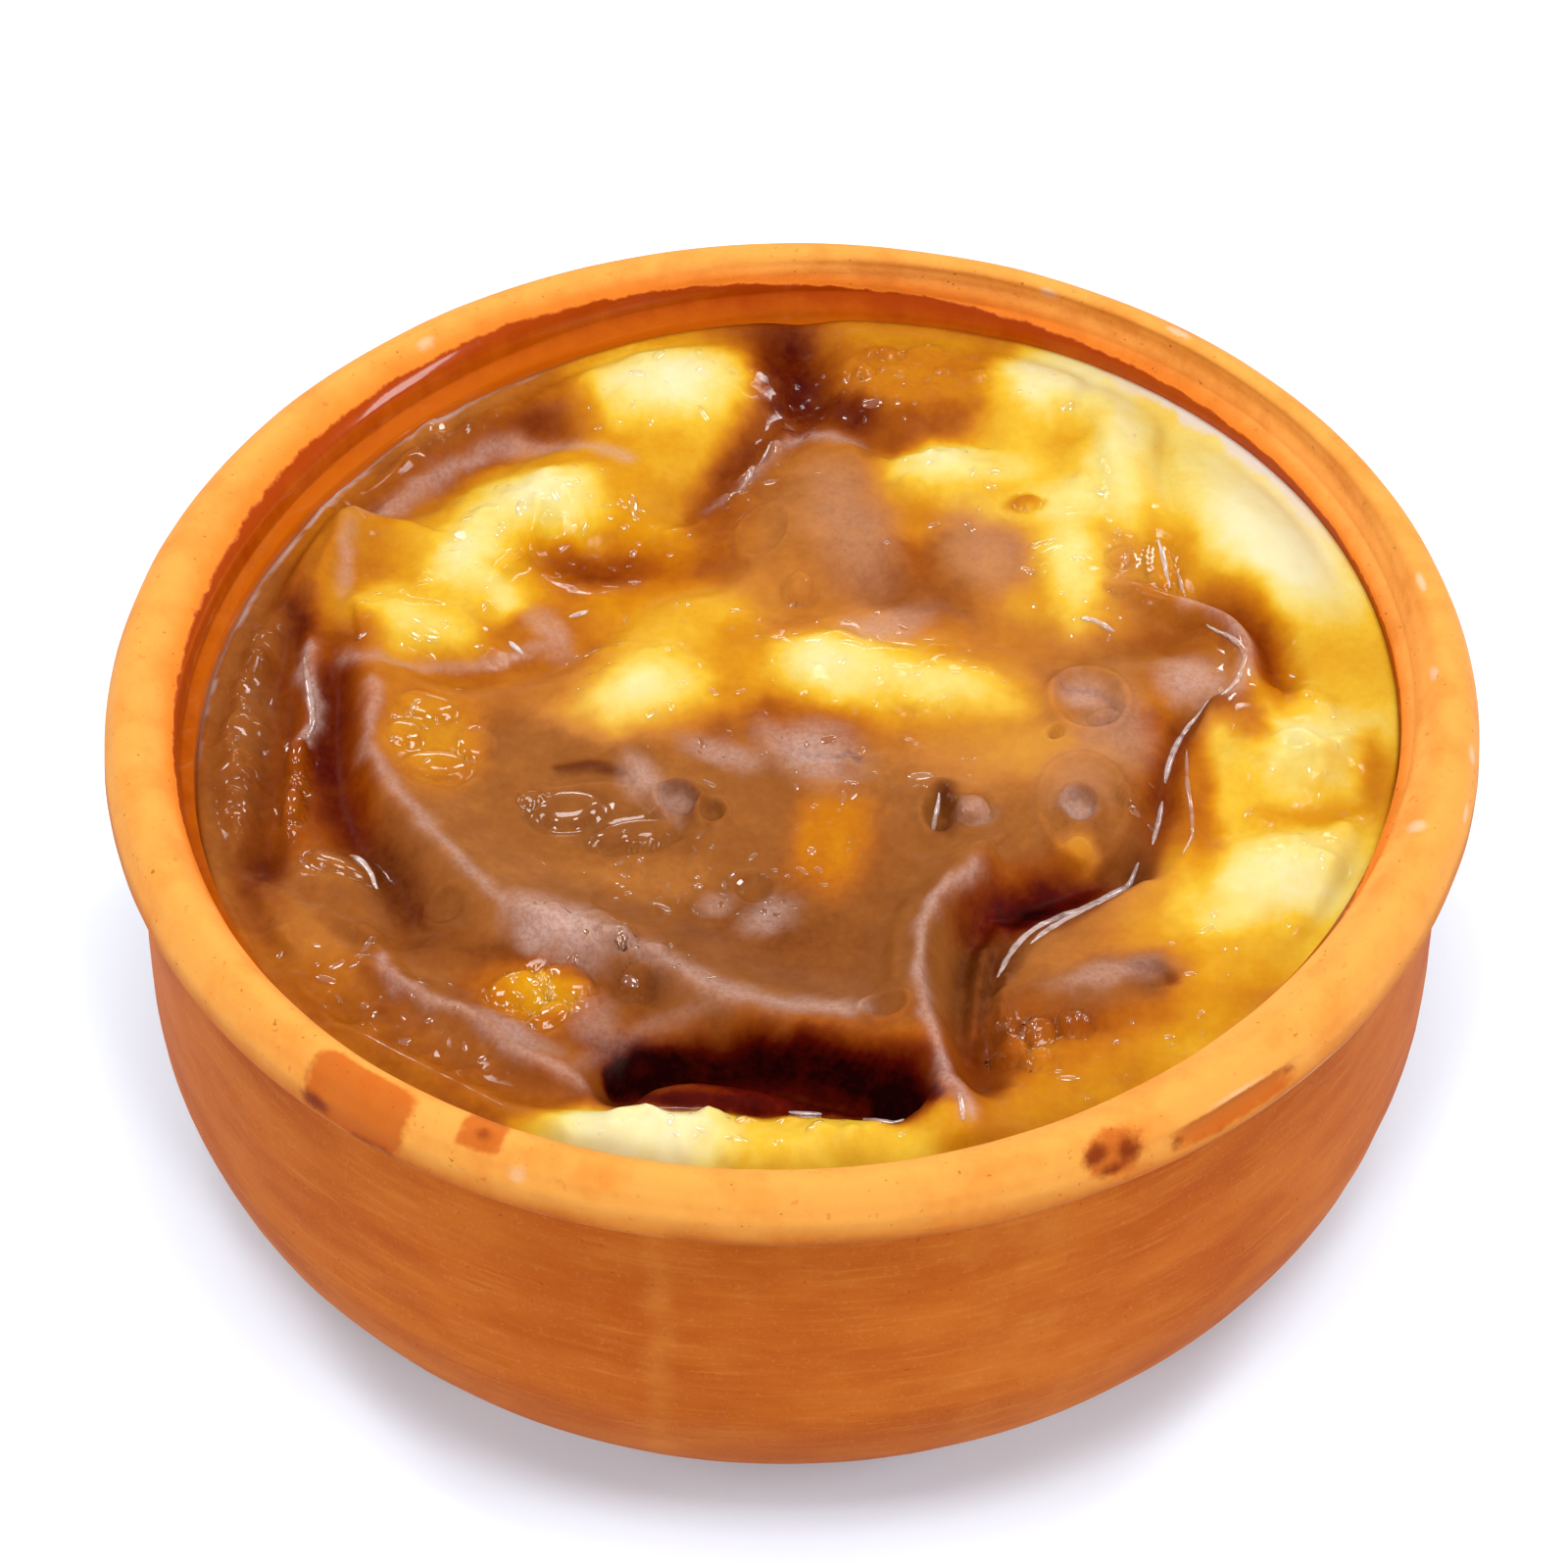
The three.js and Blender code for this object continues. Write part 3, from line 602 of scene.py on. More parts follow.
# Folds (height > 0) and valleys (height < 0): height, width on the left and on the right, route.
folds = {
    "sheetEdge": (2.0, 4.5, 2.0, [(-37, 8), (-35.5, 0), (-34, -7), (-30.5, -14), (-25, -20), (-17, -24),
                                  (-10.5, -27), (-6, -31), (0, -33.8), (6, -34.6), (9.5, -36.5), (12, -41),
                                  (13.2, -44)]),
    "sheetSlope": (-1.5, 2.2, 2.4, [(-38.5, 5), (-38.5, -3), (-37, -11), (-33, -17.5), (-31, -23)]),
    "frontCavity": (-5.4, 1.9, 1.8, [(-13.4, -38), (-11, -36.6), (-7, -36), (-2, -36.7), (3, -37.9),
                                     (7, -38.8), (9.8, -39.6)]),
    "frontPool": (-1.1, 2.2, 1.5, [(-36, -32), (-28, -36.5), (-18, -41), (-6, -41), (8, -42)]),
    "rightArc": (2.0, 1.5, 2.4, [(15.5, -15.5), (12, -20.5), (10.2, -26), (10, -32), (11.5, -38),
                                 (13.2, -43.5)]),
    "innerArc": (1.2, 1.1, 1.1, [(17, -21), (15.4, -26), (14.8, -33)]),
    "darkValley": (-2.7, 2.2, 2.1, [(27.5, -14.6), (22.5, -17), (18, -19.4), (15.4, -24), (14.6, -31),
                                    (15, -38.5)]),
    "syrupCrease": (-1.2, 1.2, 1.3, [(37, 4.5), (33, 0), (31.2, -6), (30, -11), (28.4, -16), (23.5, -20),
                                     (19, -23), (16.8, -28)]),
    "cornerFold": (1.7, 2.8, 1.2, [(30, 16), (35, 14), (38, 10), (38, 6), (35.5, 2)]),
    "cornerHollow": (-1.8, 2.2, 1.8, [(35, 17.5), (40.2, 13), (41.2, 7)]),
    "farValley": (-2.0, 2.8, 3.0, [(0.5, 51), (0.8, 45), (-1, 39), (-5, 33), (-9, 27.5)]),
    "farBranch": (-1.4, 2.2, 2.4, [(2, 43), (5.5, 38.5), (10, 35.6), (16, 36.6)]),
    "frostyCrease": (1.1, 1.1, 1.0, [(-39, 25), (-40.5, 19), (-41.6, 12), (-41, 6), (-40.7, 0), (-41.4, -5),
                                     (-41.6, -12)]),
    "outerValley": (-1.3, 2.0, 1.7, [(-42, 14), (-43.6, 6), (-43.8, -3), (-43.4, -11), (-43, -17)]),
    "tentFold": (1.3, 2.0, 0.7, [(-41.5, 27.8), (-38, 28.6), (-35.5, 31), (-33, 36)]),
    "lowerTentFold": (1.0, 0.7, 2.2, [(-40, 25.6), (-37, 24.9), (-33.5, 24)]),
    "tentValley": (-1.7, 2.4, 2.2, [(-39, 26.6), (-33.5, 28.5), (-28.5, 33), (-22, 37)]),
    "rightGroove": (-0.7, 1.8, 1.8, [(33, -12), (41, -10.6), (47, -8.6), (52, -7)]),
    "smoothTrough": (-1.1, 2.6, 2.2, [(-1, 15), (10, 17.5), (17, 12), (24, 9.6), (32, 11)]),
    "sheetTop": (-1.2, 2.2, 2.0, [(-36, 8.5), (-28, 6.5), (-20, 8.5), (-14, 14.5), (-6, 19)]),
    "lobeLine": (-1.1, 1.6, 1.4, [(-45, -20), (-41, -26), (-35, -32)]),
}

wallBand = {"inset": 2.8, "width": 2.2, "high": 0.9, "from": 105, "to": 250, "fade": 20}

# Finer folds and creases that only the visible skin has: the same measures.
creases = {
    "ridgeLeft": (0.5, 1.2, 0.9, [(-35.5, 4), (-35.2, -4), (-33.6, -9), (-30.5, -14), (-26.5, -17.5)]),
    "lipEdge": (0.9, 1.3, 0.5, [(-12.5, -36), (-9, -34.4), (-4, -34.3), (1, -35.3), (6, -36.5), (9.4, -38)]),
    "crestLine": (0.5, 1.2, 0.8, [(-21, -23), (-15, -26.5), (-9.5, -29.5), (-5, -32.5), (1, -34.6),
                                  (6, -35.2)]),
    "lowerEdge": (1.1, 1.8, 0.8, [(-30.5, -30.5), (-28, -32), (-24.5, -33.5), (-22, -36.5), (-18, -38.8)]),
    "arcLine": (0.5, 0.8, 1.1, [(12.6, -19.4), (10.6, -25), (10.3, -32), (11.8, -38), (13.2, -43)]),
    "secondRidge": (0.8, 0.7, 0.7, [(15.5, -24), (14.8, -30), (14.4, -36)]),
    "thirdRidge": (0.5, 0.6, 0.6, [(17.4, -27), (17, -31), (17.6, -34)]),
    "cornerCurl": (0.7, 0.9, 0.7, [(33.5, 13.8), (37, 12), (38.6, 9), (38.2, 5.5), (36.3, 2.8), (33.8, 0.8)]),
    "tongueRight": (0.7, 1.4, 1.4, [(5.2, 35), (6.5, 28), (8, 22), (11, 17), (15, 13)]),
    "tongueLeft": (0.8, 1.0, 1.3, [(-1.5, 35.5), (-4, 30), (-8, 26), (-11, 23.5)]),
    "wallCurl": (0.5, 0.7, 1.0, [(-48, 15), (-47.2, 21), (-45, 27), (-41.5, 32), (-36.5, 37), (-30.5, 41.5)]),
    "hollowRib": (0.6, 0.9, 0.9, [(-36, 27.5), (-31.5, 31.5), (-26.5, 33.5)]),
    "creamRib": (0.5, 0.8, 0.8, [(-22.5, 26), (-23.5, 21), (-26, 17)]),
    "tentDown": (1.0, 0.6, 1.2, [(-41.6, 27.4), (-41.1, 23.6), (-42.4, 19), (-43.2, 14)]),
    "tentRay": (0.6, 0.6, 1.0, [(-40.8, 25.6), (-39.2, 22.4), (-38.2, 18.6)]),
    "creaseBank": (0.7, 1.0, 1.2, [(35.6, 1.6), (33.2, -2.4), (32.8, -7), (33, -12), (31.6, -16.4),
                                   (27, -20.4)]),
    "valleyBank": (0.9, 1.0, 0.8, [(28.4, -17.4), (24, -20.2), (20, -22.2), (18, -24.4), (16.8, -28),
                                   (17, -33)]),
    "innerArcLine": (0.35, 0.7, 0.7, [(9.6, -20), (8.4, -24), (8.2, -29)]),
    "lobeRib": (0.6, 1.0, 1.0, [(-38, -22), (-34, -24.5), (-31.5, -28.5)]),
    "paleGrooveA": (-0.7, 1.0, 1.0, [(33.5, 38.5), (32.6, 33), (33.2, 27.5)]),
    "curlRight": (0.4, 0.9, 0.9, [(37, -3), (42, -4.4), (46, -2), (50.5, 1)]),
    "creamSeam": (-0.5, 0.9, 0.9, [(27, 45), (25.5, 40), (26.5, 35), (27, 28)]),
    "patchEdge": (0.5, 0.9, 0.8, [(-3, 1), (-1.6, -4), (2, -6.5), (7, -7)]),
    "bubbleRidge": (0.5, 0.8, 0.8, [(-14.5, -2.5), (-12.5, -6.5), (-10.5, -9.5)]),
    "hollowLip": (-0.6, 0.6, 0.7, [(-20, -6), (-16.5, -5.2), (-13.5, -5.6)]),
    "lowerSlope": (0.5, 1.0, 1.0, [(-41, -20.5), (-36, -26), (-30, -31)]),
}

# Domed bubbles and blobs: ellipse, height.
bubbles = {
    "wetPair": (-18.5, -9.4, 2.9, 2.0, 10, 0.8), "longBubble": (-13, -12, 3.6, 1.5, 12, 0.7),
    "smallLeft": (-21.5, -8.4, 1.2, 0.9, 0, 0.5), "sideBubbleUpper": (-41.5, -4, 2.0, 1.2, 90, 0.8),
    "sideBubbleLower": (-41.3, -10, 1.9, 1.1, 80, 0.8), "sideBubbleMid": (-41.2, -7.2, 1.0, 0.8, 0, 0.4),
    "leftFilm": (-36.6, -16.2, 3.0, 1.9, -15, 0.5), "shinyBall": (14.8, -9.5, 1.5, 1.4, 0, 0.8),
    "drop": (0.5, 17.5, 1.3, 1.5, 0, 0.6), "amberBumpA": (-30.8, 1.6, 2.4, 1.7, 0, 0.5),
    "amberBumpB": (-29.6, -5.6, 2.8, 1.7, 15, 0.6), "amberBumpC": (-26.5, -2, 1.6, 2.0, 0, 0.4),
    "amberBumpD": (-32.4, -2.4, 1.5, 1.6, 0, 0.4), "blobInRing": (26.2, 1.5, 1.3, 1.0, 20, 0.5),
    "ringFoot": (23.6, -14, 1.2, 1.0, 0, 0.4), "flake": (28.4, 21, 1.6, 1.1, 60, 0.5),
    "amberSpot": (20.5, 28.2, 1.3, 0.9, 20, 0.4), "popcornLeft": (-14, -25, 1.5, 1.2, 0, 0.7),
    "popcornRight": (-12.3, -29, 1.5, 1.3, 30, 0.7), "popcornUpper": (-11, -26.6, 1.1, 1.0, 0, 0.5),
    "crumbA": (17.4, -35.4, 1.5, 1.3, 0, 0.8), "crumbB": (19.8, -33.6, 1.4, 1.1, 20, 0.7),
    "crumbC": (22.6, -32.8, 1.4, 1.1, 0, 0.7), "crumbD": (19.6, -36.6, 1.5, 1.0, 0, 0.6),
    "crumbE": (16.2, -32, 0.9, 1.3, 0, 0.5), "valleyBead": (28.3, -8.5, 1.1, 1.3, 0, 0.4),
    "farBeadA": (6, 45, 1.1, 0.8, 0, 0.4), "farBeadB": (8.5, 47.4, 1.2, 0.8, 0, 0.4),
    "clusterA": (-21.8, -29.2, 2.6, 1.5, 30, 0.6), "clusterB": (-18.0, -28.4, 2.4, 1.5, -20, 0.6),
    "clusterC": (-19.2, -31.8, 1.9, 1.3, 60, 0.45), "clusterD": (-21.8, -33.4, 1.1, 0.9, 0, 0.3),
    "clusterE": (-16.2, -30.6, 1.0, 0.8, 0, 0.3),
    "streakedBump": (32, 20.6, 3.2, 1.2, 95, 0.7), "lobeBump": (-34, -24, 1.3, 1.0, 0, 0.5),
}

# Blisters with a raised ring round a crater: ellipse, ring's height and width, and crater.
blisters = {
    "upperRing": (25, 3, 3.3, 4.1, 0, 0.40, 0.16, -0.35),
    "lowerRing": (24, -9.5, 3.7, 5.4, 0, 0.30, 0.10, 0.1),
    "lowerCrater": (23.7, -10.2, 1.6, 2.0, 0, 0.40, 0.25, -0.6),
    "faintCircle": (12.6, -11, 5.0, 4.6, 0, 0.2, 0.1, 0),
    "wetHole": (12.2, -9.6, 1.6, 2.8, 0, 0.35, 0.3, -1.0),
    "darkRing": (-9.5, -8.4, 2.0, 1.9, 0, 0.4, 0.25, -0.5),
    "orangeRing": (-6.6, -9.6, 1.3, 1.3, 0, 0.35, 0.3, -0.4),
    "lowRing": (-3, -17.6, 1.8, 1.7, 0, 0.2, 0.2, -0.3),
    "crestBlister": (7.5, -33, 2.0, 1.7, 0, 0.4, 0.25, -0.3),
    "leftCircle": (-28, -21, 1.7, 1.6, 0, 0.2, 0.2, -0.2),
    "tongueEllipse": (-2.8, 24, 2.2, 3.4, -18, 0.2, 0.12, -0.15),
    "lobeCrater": (29, -28, 1.7, 1.3, 0, 0.1, 0.3, -0.2),
    "holeRight": (22, -1.2, 0.9, 0.9, 0, 0.15, 0.3, -0.5),
    "sheetCircle": (-13, -20, 3.4, 3.0, 0, 0.12, 0.12, 0),
}

# Small lumps scattered over the skin: ellipse, how many, their radius and height. A row's number is its seed.
scatters = {
    "outerWrinkles": (-47, 2, 21, 2.4, 90, 80, 0.8, 0.38),
    "outerWrinklesLow": (-41, -28, 9, 2.4, -50, 30, 0.9, 0.3),
    "farLeftWrinkles": (-32, 38, 10, 3.0, 42, 50, 0.9, 0.45),
    "farCreamLumps": (-12, 43, 9, 5, 10, 36, 0.9, 0.25),
    "farAmberLumps": (11, 45, 7, 5, 0, 50, 0.6, 0.25), "valleyBank": (-4.5, 32.5, 8, 1.2, 58, 26, 0.7, 0.4),
    "leftCreamLumps": (-24, 25, 8, 5, 40, 30, 0.9, 0.25), "leftYellowLumps": (-31, 13, 8, 5, 0, 30, 0.9, 0.25),
    "middleRightLumps": (13, 32, 6, 5, 0, 34, 0.9, 0.3), "columnLumps": (25, 22, 10, 4, 90, 30, 0.9, 0.22),
    "centreLumps": (6, 7, 10, 5, -10, 34, 0.9, 0.25), "centreLeftLumps": (-13, 7, 7, 6, 20, 26, 0.9, 0.25),
    "rightLumps": (42, -5, 12, 5, 90, 60, 1.0, 0.3), "rightLowerLumps": (37, -22, 10, 5, 40, 40, 1.0, 0.25),
    "frontRightLumps": (24, -36, 9, 5, 20, 34, 0.9, 0.22),
    "frontCreamLumps": (-6, -45, 14, 2.6, 0, 46, 1.0, 0.4),
    "frontLeftLumps": (-29, -33, 9, 3, -35, 30, 0.9, 0.28), "pebbleBand": (-8, -17, 12, 4, -12, 60, 0.6, 0.2),
    "patchCrumbs": (5, -3, 7, 3, 0, 36, 0.5, 0.25), "crestCrumbs": (-15, -25, 8, 3, -25, 36, 0.6, 0.3),
}


# Height of an ellipse's Gaussian.
def swellingHeight(shape, x, y):
    return shape[5] * np.exp(-ellipseDistance(x, y, shape) ** 2)


# Height of a fold: a Gaussian of the distance to its route, with its own width on each side.
def foldHeight(fold, x, y):
    high, left, right, route = fold
    distance, side = nearRoute(x, y, route, 3.5 * max(left, right))
    return high * np.exp(-(distance / np.where(side > 0, left, right)) ** 2)


# A bubble's dome and moat, and a blister's ring and crater, as shares of their own height and size.
bubbleForm = {"high": 1.4, "power": 0.8, "moat": 0.4, "moatAt": 1.12, "moatWidth": 0.16}
blisterForm = {"ring": 1.6, "crater": 1.3, "craterWidth": 0.75}


# Height of a domed bubble: half an ellipsoid, flattened a little on top, with a slight moat round it.
def bubbleHeight(shape, x, y):
    d = ellipseDistance(x, y, shape)
    dome = bubbleForm["high"] * np.sqrt(np.clip(1 - d ** 2, 0, 1)) ** bubbleForm["power"]
    moat = bubbleForm["moat"] * np.exp(-((d - bubbleForm["moatAt"]) / bubbleForm["moatWidth"]) ** 2)
    return shape[5] * (dome - moat)


# Height of a blister: a Gaussian ring at the ellipse's edge, and a flat bowl or dome inside it.
def blisterHeight(shape, x, y):
    ringHigh, band, crater = shape[5:]
    d = ellipseDistance(x, y, shape)
    ring = blisterForm["ring"] * ringHigh * np.exp(-((d - 1) / band) ** 2)
    return ring + blisterForm["crater"] * crater * np.exp(-(d / blisterForm["craterWidth"]) ** 4)


# Height of scattered lumps: each a small Gaussian dome of its own size, from seeded draws.
def scatterHeight(patch, seed, x, y):
    count, radius, high = patch[5:]
    draw = np.random.default_rng(seed)
    places = scatterPlaces(patch, count, draw)
    sizes, heights = radius * draw.uniform(0.6, 1.5, count), high * draw.uniform(0.4, 1.3, count)
    total = np.zeros(x.shape)
    for lumpX, lumpY, size, top, turn in zip(*places, sizes, heights, draw.uniform(0, 180, count)):
        near = (abs(x - lumpX) < 2.4 * size) & (abs(y - lumpY) < 2.4 * size)
        shape = (lumpX, lumpY, size * 1.35, size * 0.85, turn)
        total[near] += top * np.exp(-ellipseDistance(x[near], y[near], shape) ** 2 * 1.2)
    return total


# The ring of skin that stands up along part of the wall.
def wallBandHeight(angle, inset):
    bearing = (angle / degrees + 360) % 360
    ends = (smoothStep(wallBand["from"], wallBand["from"] + wallBand["fade"], bearing)
            * (1 - smoothStep(wallBand["to"] - wallBand["fade"], wallBand["to"], bearing)))
    return wallBand["high"] * ends * np.exp(-((inset - wallBand["inset"]) / wallBand["width"]) ** 2)


# How far a place lies inside the plain plug's edge.
def wallInset(x, y):
    angle = np.arctan2(y, x)
    return pudding["fillRadius"] - np.hypot(x, y) / (1 + insideOffset(angle, pudding["skinLevel"])
                                                     / pudding["fillRadius"])


# The skin's finest unevenness, as layered noise: height, cell and seed.
skinNoise = [(0.16, 4.0, 60), (0.05, 1.2, 70)]


# The skin's height: the main relief, as the plain solid has it, then the finer folds, the bubbles and lumps.
# The folds' tops are rounded off below the highest skin.
def skinHeight(x, y):
    level, inset = pudding["skinLevel"], wallInset(x, y)
    relief = wallBandHeight(np.arctan2(y, x), inset)
    relief = relief + sum(swellingHeight(shape, x, y) for shape in swellings.values())
    relief = relief + sum(foldHeight(fold, x, y) for fold in [*folds.values(), *creases.values()])
    over = level + relief - (pudding["highestSkin"] - pudding["softTop"])
    capped = pudding["highestSkin"] - pudding["softTop"] * np.exp(-np.maximum(over, 0) / pudding["softTop"])
    relief = np.where(over > 0, capped - level, relief)
    relief = relief + sum(bubbleHeight(shape, x, y) for shape in bubbles.values())
    relief = relief + sum(blisterHeight(shape, x, y) for shape in blisters.values())
    relief = relief + sum(scatterHeight(patch, seed, x, y) for seed, patch in enumerate(scatters.values()))
    relief = relief + sum(high * layeredNoise(x, y, cell, seed, 2) for high, cell, seed in skinNoise)
    share = pudding["wallRelief"] + (1 - pudding["wallRelief"]) * smoothStep(0, pudding["wallFade"], inset)
    return level + relief * share + pudding["climb"] * np.exp(-np.maximum(inset, 0) / pudding["climbReach"])


